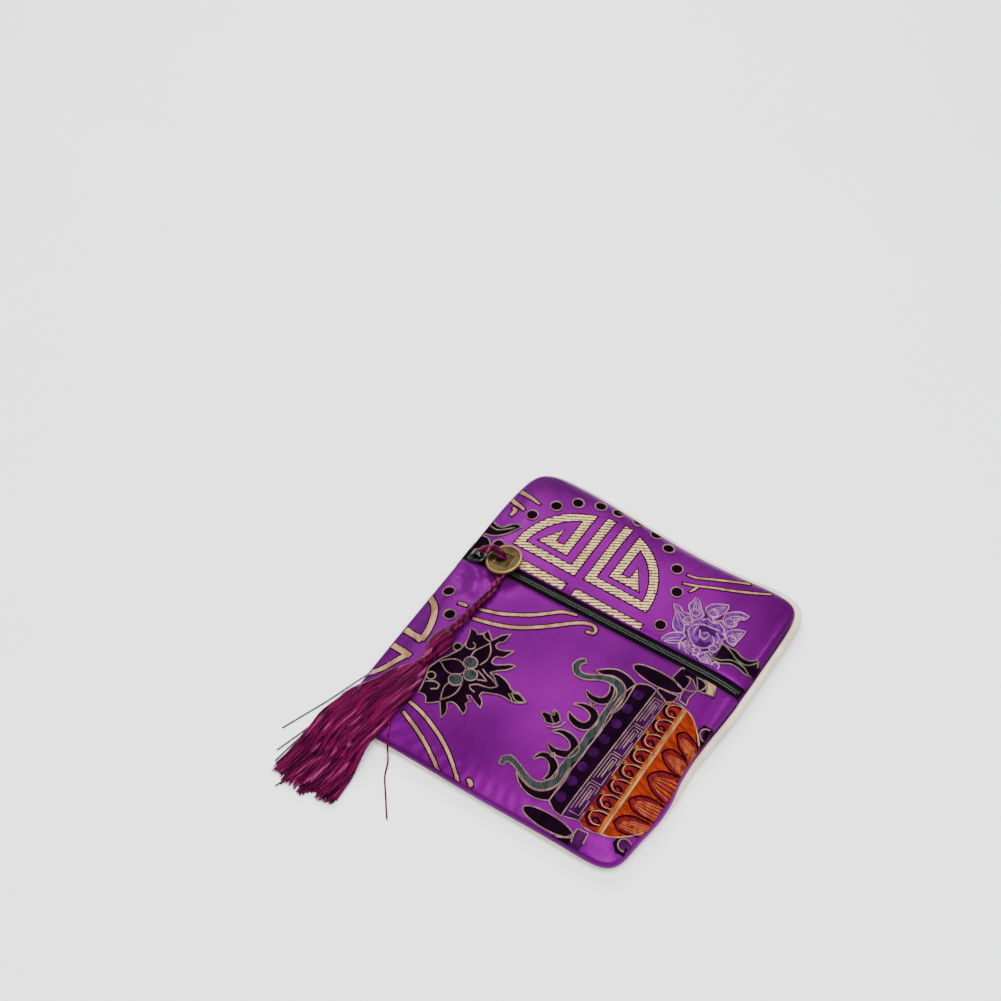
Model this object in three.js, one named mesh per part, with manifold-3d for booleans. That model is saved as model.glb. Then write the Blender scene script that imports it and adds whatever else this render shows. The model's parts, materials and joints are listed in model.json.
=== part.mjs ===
// A flat silk brocade purse with rounded corners, lying face up: two padded
// panels, a piped rim, a zipper across the face, and a tassel on a cord with a
// coin charm at the zipper's slider. Millimetres, +Z up, the table at z = 0.
import * as THREE from "three";
import { mergeVertices } from "three/addons/utils/BufferGeometryUtils.js";
import Module from "manifold-3d";

// Size of the purse
const purseWidth = 118;
const purseLength = 132;
const purseThickness = 10;
const cornerRadius = 9;
const wall = 1.6;
const fitGap = 0.3;

// Rim: the seam between the panels and the piping sewn round it
const pipingDiameter = 2.5;
const seamHeight = 4.4;
const pipingLip = 0.4;

// Shape of the pillow: how far in the face rises and how wide the base lies flat
const faceSquareness = 8;
const shoulderPower = 0.7;
const flatBaseShare = 0.85;
const baseRisePower = 1.5;

// Zipper across the face
const zipperFromTop = 49.4;
const zipperSlant = 0.022;
const zipperMouth = 4.8;
const tapeWidth = 6;
const tapeThickness = 0.6;
const tapeStopShort = 0.8;
const coilWidth = 2.2;
const coilHeight = 1.2;
const layerGap = 0.2;

// Slider at the closed end
const sliderFromLeft = 6.4;
const sliderLength = 7;
const sliderWidth = 6.4;
const sliderPlate = 1.1;
const bridgeHeight = 1.8;
const bridgeLength = 4.6;
const bridgeWidth = 2.4;
const bridgeBar = 0.8;

// Coin charm with a square hole
const coinDiameter = 13.6;
const coinThickness = 1.2;
const coinRim = 1.1;
const coinFieldDepth = 0.25;
const coinHole = 4.8;
const coinSides = 28;
const coinTilt = THREE.MathUtils.degToRad(15);
const coinCentre = new THREE.Vector3(-42.5, 16.7, 13.2);

// Cord from the slider through the coin to the tassel's head
const cordDiameter = 2.2;
const cordSteps = 52;
const cordSides = 8;

// Tassel
const headWidth = 8;
const headLength = 11;
const headHeight = 6.8;
const neckDiameter = 4;
const neckLength = 4;
const skirtLength = 62;
const lockCount = 9;
const lockWidth = 3.6;
const lockThickness = 3;
const dropRun = 15;
const floorClearance = 0.1;
const headSides = 12;
const headRings = 8;
const neckSides = 10;

// How a lock starts and ends, in shares of the skirt's length and of the
// lock's own full width and thickness
const lockRootWidth = 0.5;
const lockRootThickness = 0.7;
const lockFullFrom = 0.3;
const lockThinFrom = 0.8;
const lockTipLoss = 0.3;
const lockOnFaceFrom = 0.12;
const unevenStep = 0.03;
const sideLockLoss = 0.05;

// Dips of the rim: the top edge sags in, the right side draws in a little.
// at and reach are shares of half the side, depth is a share of purseLength.
const rimDips = [
  { side: "top", at: 0.26, reach: 0.95, depth: 0.024 },
  { side: "right", at: -0.22, reach: 0.45, depth: 0.012 },
];

// How far the piping is rolled under the face round the rim, from 0, beside
// the face, to 1, under it. along is the share of one turn round the rim,
// counter-clockwise from the middle of the right side.
const pipingRoll = [
  { along: 0.0, roll: 0 },
  { along: 0.12, roll: 0 },
  { along: 0.2, roll: 0.25 },
  { along: 0.34, roll: 0.3 },
  { along: 0.42, roll: 0.9 },
  { along: 0.6, roll: 1 },
  { along: 0.66, roll: 0.75 },
  { along: 0.75, roll: 0.92 },
  { along: 0.83, roll: 0.8 },
  { along: 0.9, roll: 1 },
  { along: 0.96, roll: 0.4 },
  { along: 1.0, roll: 0 },
];

// The tassel's skirt by shares of its length: how far its middle has swung
// to the left and half its width
const skirtSections = [
  { along: 0, sway: 0, spread: 0.022 },
  { along: 0.2, sway: 0.05, spread: 0.1 },
  { along: 0.4, sway: 0.12, spread: 0.15 },
  { along: 0.6, sway: 0.158, spread: 0.165 },
  { along: 0.8, sway: 0.163, spread: 0.185 },
  { along: 1, sway: 0.17, spread: 0.2 },
];

// The cord's route, from the top of the slider's bridge to the tassel's head
const cordRoute = [
  [-52.2, 15.7, 13.3],
  [-50.3, 16.5, 13.8],
  [-48.5, 17.4, 14.5],
  [-46.7, 17.9, 15.0],
  [-45.0, 17.7, 14.7],
  [-43.5, 17.2, 13.6],
  [-42.0, 16.6, 12.4],
  [-40.8, 15.6, 11.6],
  [-40.2, 13.7, 11.3],
  [-40.1, 11.0, 11.3],
  [-39.8, 7.0, 11.3],
  [-39.6, 2.8, 11.3],
  [-40.0, -1.4, 11.3],
  [-40.6, -5.6, 11.3],
  [-41.2, -9.8, 11.3],
  [-41.6, -13.4, 11.6],
  [-41.9, -16.4, 12.3],
  [-42.1, -19.2, 13.0],
];

// Where the tassel's head lies, and the way its axis points in plan
const headCentre = new THREE.Vector2(-41.9, -25.2);
const headAxis = new THREE.Vector2(-0.1, -1).normalize();

// Stations along half of one side of the rim, closer at the corner
const halfSideStations = [0, 0.25, 0.5, 0.7, 0.82, 0.9, 0.96];
const faceRings = [0.35, 0.6, 0.78, 0.88, 0.94, 0.98, 1];
const baseRings = [0.45, 0.85, 0.9, 0.95, 1];
const zipperSteps = 20;
const coilSides = 8;
const noseSegments = 5;
const pipingSides = 8;
const lockSides = 6;
const lockSteps = 9;
const weldTolerance = 1e-4;

const seamInset = pipingDiameter + fitGap;
const seamHalfWidth = purseWidth / 2 - seamInset;
const seamHalfLength = purseLength / 2 - seamInset;
const squareCorner = 1 - Math.SQRT1_2;
const seamPower = Math.LN2 / -Math.log(1 - (squareCorner * cornerRadius) / seamHalfWidth);

// The zipper's middle line, which isn't quite square to the sides
function zipperY(x) {
  return purseLength / 2 - zipperFromTop + zipperSlant * x;
}

const { clamp, lerp, smoothstep } = THREE.MathUtils;

// Value of a named column of a table at a share between its rows
function lookUp(table, share, column) {
  const next = table.findIndex((row) => row.along >= share);
  if (next <= 0) {
    return table[Math.max(next, 0)][column];
  }
  const before = table[next - 1];
  const after = table[next];
  const part = (share - before.along) / (after.along - before.along);
  return lerp(before[column], after[column], smoothstep(part, 0, 1));
}

// How near a place in plan is to the seam: 0 at the middle, 1 on the seam
function reachOf(x, y) {
  const across = Math.abs(x / seamHalfWidth) ** seamPower;
  const along = Math.abs(y / seamHalfLength) ** seamPower;
  return (across + along) ** (1 / seamPower);
}

// Height of the face over the table, on its outer side
function faceHeight(reach) {
  const loft = purseThickness - seamHeight - wall;
  const rise = (1 - Math.min(reach, 1) ** faceSquareness) ** shoulderPower;
  return seamHeight + wall + fitGap / 2 + (loft - fitGap / 2) * rise;
}

// Height of the base over the table, on its outer side
function baseHeight(reach) {
  const rim = seamHeight - wall - fitGap / 2;
  const part = clamp((reach - flatBaseShare) / (1 - flatBaseShare), 0, 1);
  return rim * part ** baseRisePower;
}

// A smooth dent, 1 at its middle and 0 at its reach
function dent(distance, reach) {
  return 1 - smoothstep(Math.abs(distance) / reach, 0, 1);
}

// Draws the rim in where it sags; the middle of the purse stays
function sagged(x, y) {
  const place = new THREE.Vector2(x, y);
  for (const { side, at, reach, depth } of rimDips) {
    const sag = depth * purseLength;
    if (side === "top" && y > 0) {
      place.y -= sag * dent(x / seamHalfWidth - at, reach) * (y / seamHalfLength) ** 3;
    }
    if (side === "right" && x > 0) {
      place.x -= sag * dent(y / seamHalfLength - at, reach) * (x / seamHalfWidth) ** 3;
    }
  }
  return place;
}

// Stations round the seam, counter-clockwise from the middle of the right side
function makeStations() {
  const square = [];
  for (let side = 0; side < 4; side += 1) {
    const turn = (side * Math.PI) / 2;
    const walk = [...halfSideStations, 1];
    const before = halfSideStations.slice(1).reverse().map((share) => -share);
    for (const share of [...before, ...walk]) {
      square.push(new THREE.Vector2(1, share).rotateAround(new THREE.Vector2(), turn));
    }
  }
  const middle = square.findIndex((point) => point.x > 0.5 && Math.abs(point.y) < weldTolerance);
  const ordered = [...square.slice(middle), ...square.slice(0, middle)];
  const straight = ordered.map((point) => {
    const corner = new THREE.Vector2(point.x * seamHalfWidth, point.y * seamHalfLength);
    return corner.divideScalar(reachOf(corner.x, corner.y));
  });
  const seam = straight.map((point) => sagged(point.x, point.y));
  return ordered.map((point, index) => {
    const last = seam[(index + seam.length - 1) % seam.length];
    const next = seam[(index + 1) % seam.length];
    const run = next.clone().sub(last).normalize();
    const along = (Math.atan2(point.y, point.x) / (2 * Math.PI) + 1) % 1;
    const roll = lookUp(pipingRoll, along, "roll");
    return {
      straight: straight[index],
      seam: seam[index],
      outward: new THREE.Vector2(run.y, -run.x),
      drop: (pipingDiameter / 2 + fitGap / 2) * Math.min(2 * roll, 1),
      overhang: (seamInset - pipingLip) * Math.max(2 * roll - 1, 0),
    };
  });
}
const stations = makeStations();

// Merges a geometry's shared vertices, drops its empty triangles and turns
// its faces outwards
function weld(geometry) {
  const bare = geometry.clone();
  bare.deleteAttribute("normal");
  bare.deleteAttribute("uv");
  const merged = mergeVertices(bare, weldTolerance);
  const old = merged.index.array;
  const kept = [];
  let volume = 0;
  const corners = [new THREE.Vector3(), new THREE.Vector3(), new THREE.Vector3()];
  for (let i = 0; i < old.length; i += 3) {
    const [a, b, c] = [old[i], old[i + 1], old[i + 2]];
    if (a !== b && b !== c && c !== a) {
      kept.push(a, b, c);
      [a, b, c].forEach((vertex, k) => corners[k].fromBufferAttribute(merged.attributes.position, vertex));
      volume += corners[0].dot(corners[1].clone().cross(corners[2]));
    }
  }
  merged.setIndex(volume < 0 ? kept.reverse() : kept);
  return merged;
}

// Moves each vertex of a geometry to the place that a function gives for it
function reshape(geometry, place) {
  const position = geometry.attributes.position;
  const point = new THREE.Vector3();
  for (let i = 0; i < position.count; i += 1) {
    point.fromBufferAttribute(position, i);
    const moved = place(point, i);
    position.setXYZ(i, moved.x, moved.y, moved.z);
  }
  return geometry;
}

// Joins and cuts of closed bodies
const wasm = await Module();
wasm.setup();

function toSolid(geometry) {
  const welded = weld(geometry);
  return new wasm.Manifold(new wasm.Mesh({
    numProp: 3,
    vertProperties: new Float32Array(welded.attributes.position.array),
    triVerts: new Uint32Array(welded.index.array),
  }));
}

function toGeometry(solid) {
  const mesh = solid.getMesh();
  const geometry = new THREE.BufferGeometry();
  geometry.setAttribute("position", new THREE.BufferAttribute(new Float32Array(mesh.vertProperties), 3));
  geometry.setIndex(new THREE.BufferAttribute(new Uint32Array(mesh.triVerts), 1));
  return geometry;
}

function fuse(geometries) {
  return toGeometry(geometries.map(toSolid).reduce((whole, solid) => whole.add(solid)));
}

// A padded panel of even wall. rings are shares of the way to the seam, and
// height gives the outer side; inward is the step from it to the inner side.
function makePanel(rings, height, inward, overhangs) {
  const rows = [{ reach: 0, layer: 0 }];
  rings.forEach((reach) => rows.push({ reach, layer: 0 }));
  rings.slice().reverse().forEach((reach) => rows.push({ reach, layer: 1 }));
  rows.push({ reach: 0, layer: 1 });
  const profile = rows.map((row) => new THREE.Vector2(row.reach, -row.layer));
  const lathe = new THREE.LatheGeometry(profile, stations.length);
  return reshape(lathe, (point, i) => {
    const { reach, layer } = rows[i % rows.length];
    const station = stations[Math.floor(i / rows.length) % stations.length];
    const place = sagged(station.straight.x * reach, station.straight.y * reach);
    if (overhangs && reach === 1) {
      place.addScaledVector(station.outward, station.overhang);
    }
    return new THREE.Vector3(place.x, place.y, height(reach) + layer * inward);
  });
}

// The face is one panel cut across where the zipper is set in; side is 1 for
// the part above the zipper and -1 for the part below it
function cutFace(side) {
  const cutter = new THREE.BoxGeometry(2 * purseWidth, purseLength, 4 * purseThickness);
  reshape(cutter, (point) => {
    const mouth = (side * (zipperMouth + purseLength)) / 2;
    return new THREE.Vector3(point.x, zipperY(point.x) + mouth + point.y, point.z);
  });
  const face = makePanel(faceRings, faceHeight, -wall, true);
  return toGeometry(toSolid(face).intersect(toSolid(cutter)));
}

// The piping runs round the rim, beside the seam or rolled under the face
function makePiping() {
  const ring = new THREE.TorusGeometry(2, 1, pipingSides, stations.length);
  const perSide = stations.length + 1;
  return reshape(ring, (point, i) => {
    const station = stations[(i % perSide) % stations.length];
    const angle = (Math.floor(i / perSide) / pipingSides) * 2 * Math.PI;
    const outside = fitGap + (pipingDiameter / 2) * (1 + Math.cos(angle));
    const place = station.seam.clone().addScaledVector(station.outward, outside);
    const lift = seamHeight - station.drop + (pipingDiameter / 2) * Math.sin(angle);
    return new THREE.Vector3(place.x, place.y, lift);
  });
}

// A strip that follows the face along the zipper: y from the zipper's middle,
// and depth down from the outer side of the face
function makeZipperStrip(nearY, farY, top, thickness) {
  const strip = new THREE.BoxGeometry(1, 1, 1, zipperSteps, 1, 1);
  const halfLength = seamHalfWidth - tapeStopShort;
  return reshape(strip, (point) => {
    const x = 2 * point.x * halfLength;
    const y = zipperY(x) + lerp(nearY, farY, point.y + 0.5);
    const surface = faceHeight(reachOf(x, zipperY(x))) - top;
    return new THREE.Vector3(x, y, surface - thickness * (0.5 - point.z));
  });
}

// The coil is a low rounded ridge along both tapes
function makeCoil() {
  const ridge = new THREE.CylinderGeometry(1, 1, 1, coilSides, zipperSteps);
  const halfLength = seamHalfWidth - tapeStopShort;
  const coilMiddle = wall - coilHeight / 2;
  return reshape(ridge, (point) => {
    const x = 2 * point.y * halfLength;
    const surface = faceHeight(reachOf(x, zipperY(x))) - coilMiddle;
    return new THREE.Vector3(
      x,
      zipperY(x) + (point.x * coilWidth) / 2,
      surface + (point.z * coilHeight) / 2,
    );
  });
}

// Slider: a waisted plate over the coil with an open bridge for the cord
function makeSlider() {
  const nose = new THREE.Shape();
  nose.moveTo(-sliderLength / 2, -sliderWidth / 2);
  nose.lineTo(sliderLength / 6, -sliderWidth / 2);
  nose.quadraticCurveTo(sliderLength / 2, -sliderWidth / 2, sliderLength / 2, 0);
  nose.quadraticCurveTo(sliderLength / 2, sliderWidth / 2, sliderLength / 6, sliderWidth / 2);
  nose.lineTo(-sliderLength / 2, sliderWidth / 2);
  const plate = new THREE.ExtrudeGeometry(nose, {
    depth: sliderPlate,
    bevelEnabled: false,
    curveSegments: noseSegments,
  });
  const arch = new THREE.BoxGeometry(bridgeLength, bridgeWidth, 2 * bridgeHeight);
  arch.translate(0, 0, sliderPlate);
  const way = new THREE.BoxGeometry(
    bridgeLength - 2 * bridgeBar,
    2 * bridgeWidth,
    bridgeHeight - bridgeBar,
  );
  way.translate(0, 0, sliderPlate + (bridgeHeight - bridgeBar) / 2);
  const bridge = toSolid(arch).subtract(toSolid(way)).trimByPlane([0, 0, 1], sliderPlate / 2);
  return toGeometry(toSolid(plate).add(bridge));
}

// The slider lies on the face's slope, clear of it all over
function placeSlider(mesh) {
  const x = sliderFromLeft - purseWidth / 2;
  const y = zipperY(x);
  const left = faceHeight(reachOf(x - sliderLength / 2, y));
  const right = faceHeight(reachOf(x + sliderLength / 2, y));
  const slope = (right - left) / sliderLength;
  let lift = 0;
  for (let share = -0.5; share <= 0.5; share += 0.1) {
    const away = share * sliderLength;
    lift = Math.max(lift, faceHeight(reachOf(x + away, y)) - slope * away);
  }
  mesh.rotation.y = -Math.atan(slope);
  mesh.position.set(x, y, lift + fitGap);
}

// Coin: raised rims round the edge and the square hole, bare field between
function makeCoin() {
  const radius = coinDiameter / 2;
  const half = coinThickness / 2;
  const field = half - coinFieldDepth;
  const profile = [
    [0, -field],
    [radius - coinRim, -field],
    [radius - coinRim, -half],
    [radius, -half],
    [radius, half],
    [radius - coinRim, half],
    [radius - coinRim, field],
    [0, field],
  ].map(([r, h]) => new THREE.Vector2(r, h));
  const disc = new THREE.LatheGeometry(profile, coinSides).rotateX(Math.PI / 2);
  const frameSide = coinHole + 2 * coinRim;
  const frame = new THREE.BoxGeometry(frameSide, frameSide, coinThickness);
  const hole = new THREE.BoxGeometry(coinHole, coinHole, 2 * coinThickness);
  return toGeometry(toSolid(disc).add(toSolid(frame)).subtract(toSolid(hole)));
}

// The cord is a round tube along its route
function makeCord() {
  const section = new THREE.Shape();
  for (let side = 0; side < cordSides; side += 1) {
    const angle = (2 * Math.PI * side) / cordSides;
    const x = (cordDiameter / 2) * Math.cos(angle);
    const y = (cordDiameter / 2) * Math.sin(angle);
    if (side === 0) {
      section.moveTo(x, y);
    } else {
      section.lineTo(x, y);
    }
  }
  const route = new THREE.CatmullRomCurve3(cordRoute.map((point) => new THREE.Vector3(...point)));
  return new THREE.ExtrudeGeometry(section, { steps: cordSteps, extrudePath: route });
}

// What the tassel lies on: the face, then the air down from the rim to the table
function supportHeight(x, y) {
  const reach = reachOf(x, y);
  const outside = Math.max(reach - 1, 0) * seamHalfWidth - seamInset;
  const fallen = smoothstep(outside / dropRun, 0, 1);
  return lerp(faceHeight(reach) + fitGap, floorClearance, fallen);
}

// The height where a lock of a given thickness rests over its whole width
function restHeight(x, y, halfWidth) {
  return Math.max(
    supportHeight(x - halfWidth, y),
    supportHeight(x, y),
    supportHeight(x + halfWidth, y),
    supportHeight(x, y + halfWidth),
  );
}

// One lock of the skirt; side runs from -1, the left edge, to 1, the right
function makeLock(side, lengthShare, neckPlace) {
  const lock = new THREE.CylinderGeometry(1, 1, 1, lockSides, lockSteps);
  return reshape(lock, (point) => {
    const share = (0.5 - point.y) * lengthShare;
    const tip = 1 - lockTipLoss * smoothstep(share, lockThinFrom, 1);
    const full = smoothstep(share, 0, lockFullFrom) * tip;
    const halfWidth = (lockWidth / 2) * lerp(lockRootWidth, 1, full);
    const halfThick = (lockThickness / 2) * lerp(lockRootThickness, 1, full);
    const middleX = neckPlace.x - lookUp(skirtSections, share, "sway") * skirtLength;
    const x = middleX + side * lookUp(skirtSections, share, "spread") * skirtLength;
    const y = neckPlace.y - share * skirtLength;
    const rest = restHeight(x, y, halfWidth) + halfThick;
    const z = lerp(neckPlace.z, rest, smoothstep(share, 0, lockOnFaceFrom));
    return new THREE.Vector3(x + point.x * halfWidth, y, Math.max(z, rest) + point.z * halfThick);
  });
}

// Tassel: a knotted head, a bound neck and a skirt of locks, in one body
function makeTassel() {
  const turn = Math.atan2(headAxis.y, headAxis.x) + Math.PI / 2;
  const faceAtHead = faceHeight(reachOf(headCentre.x, headCentre.y)) + fitGap;
  const head = new THREE.SphereGeometry(1, headSides, headRings);
  head.scale(headWidth / 2, headLength / 2, headHeight / 2);
  head.rotateZ(turn);
  head.translate(headCentre.x, headCentre.y, faceAtHead + headHeight / 2);
  const neckStart = headCentre.clone().addScaledVector(headAxis, headLength / 2 - neckLength / 4);
  const neckEnd = neckStart.clone().addScaledVector(headAxis, neckLength);
  const faceAtNeck = faceHeight(reachOf(neckEnd.x, neckEnd.y)) + fitGap;
  const neckPlace = new THREE.Vector3(neckEnd.x, neckEnd.y, faceAtNeck + neckDiameter / 2);
  const neckRadius = neckDiameter / 2;
  const neck = new THREE.CylinderGeometry(neckRadius, neckRadius, 1.5 * neckLength, neckSides);
  neck.rotateZ(turn);
  neck.translate(neckEnd.x, neckEnd.y + neckLength / 2, neckPlace.z);
  const locks = [];
  for (let i = 0; i < lockCount; i += 1) {
    const side = (2 * i) / (lockCount - 1) - 1;
    const lengthShare = 1 - unevenStep * (i % 3) - sideLockLoss * side * side;
    locks.push(makeLock(side, lengthShare, neckPlace));
  }
  return fuse([head, neck, ...locks]);
}

const purpleBrocade = { color: 0x85119a, roughness: 0.42, metalness: 0 };
const creamSatin = { color: 0xf0e2cd, roughness: 0.55, metalness: 0 };
const blackTape = { color: 0x0b0c0d, roughness: 0.7, metalness: 0 };
const blackNylon = { color: 0x101312, roughness: 0.4, metalness: 0 };
const blackEnamel = { color: 0x0d0d0e, roughness: 0.3, metalness: 0.2 };
const agedBrass = { color: 0x8b7340, roughness: 0.45, metalness: 0.9 };
const plumSilk = { color: 0x7a1650, roughness: 0.5, metalness: 0 };

const purse = new THREE.Group();

// Adds one named piece of the purse with its own material
function addPiece(name, geometry, finish) {
  const mesh = new THREE.Mesh(weld(geometry), new THREE.MeshStandardMaterial(finish));
  mesh.name = name;
  purse.add(mesh);
  return mesh;
}

const tapeTop = wall + layerGap;

addPiece("back_panel", makePanel(baseRings, baseHeight, wall, false), purpleBrocade);
addPiece("front_panel_lower", cutFace(-1), purpleBrocade);
addPiece("front_panel_upper", cutFace(1), purpleBrocade);
addPiece("piping", makePiping(), creamSatin);
addPiece(
  "zipper_tape_lower",
  makeZipperStrip(-layerGap / 2, -tapeWidth, tapeTop, tapeThickness),
  blackTape,
);
addPiece(
  "zipper_tape_upper",
  makeZipperStrip(layerGap / 2, tapeWidth, tapeTop, tapeThickness),
  blackTape,
);
addPiece("zipper_coil", makeCoil(), blackNylon);
placeSlider(addPiece("zipper_slider", makeSlider(), blackEnamel));
const coin = addPiece("coin", makeCoin(), agedBrass);
coin.rotation.y = -coinTilt;
coin.position.copy(coinCentre);
addPiece("tassel_cord", makeCord(), plumSilk);
addPiece("tassel", makeTassel(), plumSilk);

export default purse;
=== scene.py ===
import json
import logging
import math
import random
from dataclasses import dataclass, field
from enum import Enum
from typing import Iterable, Sequence

import bmesh
import bpy
from mathutils import Matrix, Vector, noise

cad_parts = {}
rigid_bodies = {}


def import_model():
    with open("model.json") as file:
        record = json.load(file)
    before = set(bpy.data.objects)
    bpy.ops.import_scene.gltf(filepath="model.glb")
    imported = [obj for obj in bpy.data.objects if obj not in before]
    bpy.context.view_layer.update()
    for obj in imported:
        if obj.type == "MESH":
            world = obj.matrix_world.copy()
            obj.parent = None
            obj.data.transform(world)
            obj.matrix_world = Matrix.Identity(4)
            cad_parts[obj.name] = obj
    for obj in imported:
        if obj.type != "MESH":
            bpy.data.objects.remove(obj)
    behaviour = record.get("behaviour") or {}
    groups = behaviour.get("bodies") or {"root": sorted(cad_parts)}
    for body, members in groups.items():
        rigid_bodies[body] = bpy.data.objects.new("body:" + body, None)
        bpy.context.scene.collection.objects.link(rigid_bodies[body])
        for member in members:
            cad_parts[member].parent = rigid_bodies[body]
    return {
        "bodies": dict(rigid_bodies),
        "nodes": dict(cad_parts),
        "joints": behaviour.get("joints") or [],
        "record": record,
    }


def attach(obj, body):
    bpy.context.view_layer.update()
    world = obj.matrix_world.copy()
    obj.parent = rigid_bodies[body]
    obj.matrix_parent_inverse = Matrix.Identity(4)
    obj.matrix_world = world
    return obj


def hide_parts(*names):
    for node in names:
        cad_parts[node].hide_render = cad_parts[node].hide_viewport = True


LOG = logging.getLogger("purse")

MM = 0.001
BODY = "root"
TURN = 2 * math.pi

Point = tuple[float, float]
Path = Sequence[Point]


# Small arithmetic

def smoothstep(value: float, low: float = 0.0, high: float = 1.0) -> float:
    """Returns 0 below low, 1 above high and an S curve between them."""
    share = min(max((value - low) / (high - low), 0.0), 1.0)
    return share * share * (3 - 2 * share)


def lerp(start: float, end: float, share: float) -> float:
    """Returns the value at a share of the way from start to end."""
    return start + (end - start) * share


def look_up(table: Sequence[Point], share: float) -> float:
    """Returns a table's value at a share, eased between its rows.

    Args:
        table: Rows of share and value, by rising share.
        share: Where to read it.

    Returns:
        The eased value.
    """
    if share <= table[0][0]:
        return table[0][1]
    for before, after in zip(table, table[1:]):
        if share <= after[0]:
            return lerp(before[1], after[1], smoothstep(share, before[0], after[0]))
    return table[-1][1]


def smooth_path(
    points: Sequence[Sequence[float]],
    step: float = 1.0,
    closed: bool = False,
    corner: float = 52.0,
) -> list[Vector]:
    """Draws a smooth line through points, sharp where it turns hard.

    Args:
        points: Places in two or three dimensions.
        step: About how far apart the line's points are.
        closed: Whether the last point joins the first.
        corner: The turn in degrees from which a point stays a corner.

    Returns:
        The line's points, without the first one again at the end.
    """
    spots = [Vector(point).to_3d() for point in points]
    count = len(spots)
    limit = math.radians(corner)

    def heading(index: int, leaving: bool) -> Vector:
        here = spots[index]
        if not closed and index == 0:
            return (spots[1] - here).normalized()
        if not closed and index == count - 1:
            return (here - spots[index - 1]).normalized()
        arriving = here - spots[index - 1]
        going = spots[(index + 1) % count] - here
        if arriving.angle(going, 0.0) > limit:
            return (going if leaving else arriving).normalized()
        return (arriving.normalized() + going.normalized()).normalized()

    line = []
    for index in range(count if closed else count - 1):
        start, end = spots[index], spots[(index + 1) % count]
        length = (end - start).length
        leave = heading(index, True) * length
        arrive = heading((index + 1) % count, False) * length
        steps = max(1, round(length / step))
        for k in range(steps):
            t = k / steps
            line.append(
                start * (2 * t**3 - 3 * t**2 + 1)
                + leave * (t**3 - 2 * t**2 + t)
                + end * (3 * t**2 - 2 * t**3)
                + arrive * (t**3 - t**2)
            )
    if not closed:
        line.append(spots[-1])
    return line


def ring_path(centre: Point, across: float, along: float, count: int = 16) -> list[Point]:
    """Returns points round an ellipse, by its half sizes."""
    return [
        (centre[0] + across * math.cos(TURN * k / count),
         centre[1] + along * math.sin(TURN * k / count))
        for k in range(count)
    ]


def arc_path(centre: Point, radius: float, start: float, end: float, count: int) -> list[Point]:
    """Returns points along an arc, from one angle to another in degrees."""
    angles = [math.radians(lerp(start, end, k / (count - 1))) for k in range(count)]
    return [(centre[0] + radius * math.cos(a), centre[1] + radius * math.sin(a)) for a in angles]


def mirrored(points: Path, axis: float, across: bool = False) -> list[Point]:
    """Returns points mirrored about a line, last one first.

    Args:
        points: The points.
        axis: Where the mirror line crosses the axis at right angles to it.
        across: Whether x is mirrored, in place of y.

    Returns:
        The mirrored points.
    """
    if across:
        return [(2 * axis - x, y) for x, y in reversed(points)]
    return [(x, 2 * axis - y) for x, y in reversed(points)]


def widened(outline: Sequence[Vector], by: float) -> list[Vector]:
    """Returns a closed outline moved outwards all round by a distance."""
    area = sum(a.x * b.y - b.x * a.y for a, b in zip(outline, [*outline[1:], outline[0]]))
    side = math.copysign(1.0, area)
    moved = []
    for index, here in enumerate(outline):
        into = (here - outline[index - 1]).normalized()
        out = (outline[(index + 1) % len(outline)] - here).normalized()
        normal = Vector((into.y + out.y, -(into.x + out.x), 0.0)) * side
        if normal.length < 0.3:
            normal = (into - out) * 1.0
        normal.normalize()
        reach = max(abs(normal.dot(Vector((out.y, -out.x, 0.0)))), 0.5)
        moved.append(here + normal * (by / reach))
    return moved


def ribbon(line: Sequence[Vector], widths: Sequence[float]) -> list[Vector]:
    """Returns the closed outline of a flat ribbon along a line.

    Args:
        line: The ribbon's middle.
        widths: Its width from the start to the end, spread evenly.

    Returns:
        The outline's points.
    """
    left, right = [], []
    for index, here in enumerate(line):
        before = line[max(index - 1, 0)]
        after = line[min(index + 1, len(line) - 1)]
        run = (after - before).normalized()
        place = index / (len(line) - 1) * (len(widths) - 1)
        low = min(int(place), len(widths) - 2)
        half = lerp(widths[low], widths[low + 1], place - low) / 2
        normal = Vector((-run.y, run.x, 0.0)) * half
        left.append(here + normal)
        right.append(here - normal)
    return left + right[::-1]


# Making objects

def new_object(name: str, mesh: bpy.types.Mesh, material: bpy.types.Material) -> bpy.types.Object:
    """Returns a new object in the scene with one material."""
    mesh.name = name
    mesh.materials.clear()
    mesh.materials.append(material)
    piece = bpy.data.objects.new(name, mesh)
    bpy.context.scene.collection.objects.link(piece)
    return piece


def from_bmesh(
    name: str, shape: bmesh.types.BMesh, material: bpy.types.Material, sharp: float = 50.0
) -> bpy.types.Object:
    """Turns a shape in millimetres into a smooth shaded object in metres.

    Args:
        name: The object's name.
        shape: The shape, which is freed.
        material: Its finish.
        sharp: Edges that turn by more than this many degrees stay sharp.

    Returns:
        The object.
    """
    bmesh.ops.scale(shape, vec=(MM, MM, MM), verts=shape.verts)
    mesh = bpy.data.meshes.new(name)
    shape.to_mesh(mesh)
    shape.free()
    mesh.shade_smooth()
    mesh.set_sharp_from_angle(angle=math.radians(sharp))
    return new_object(name, mesh, material)


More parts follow.
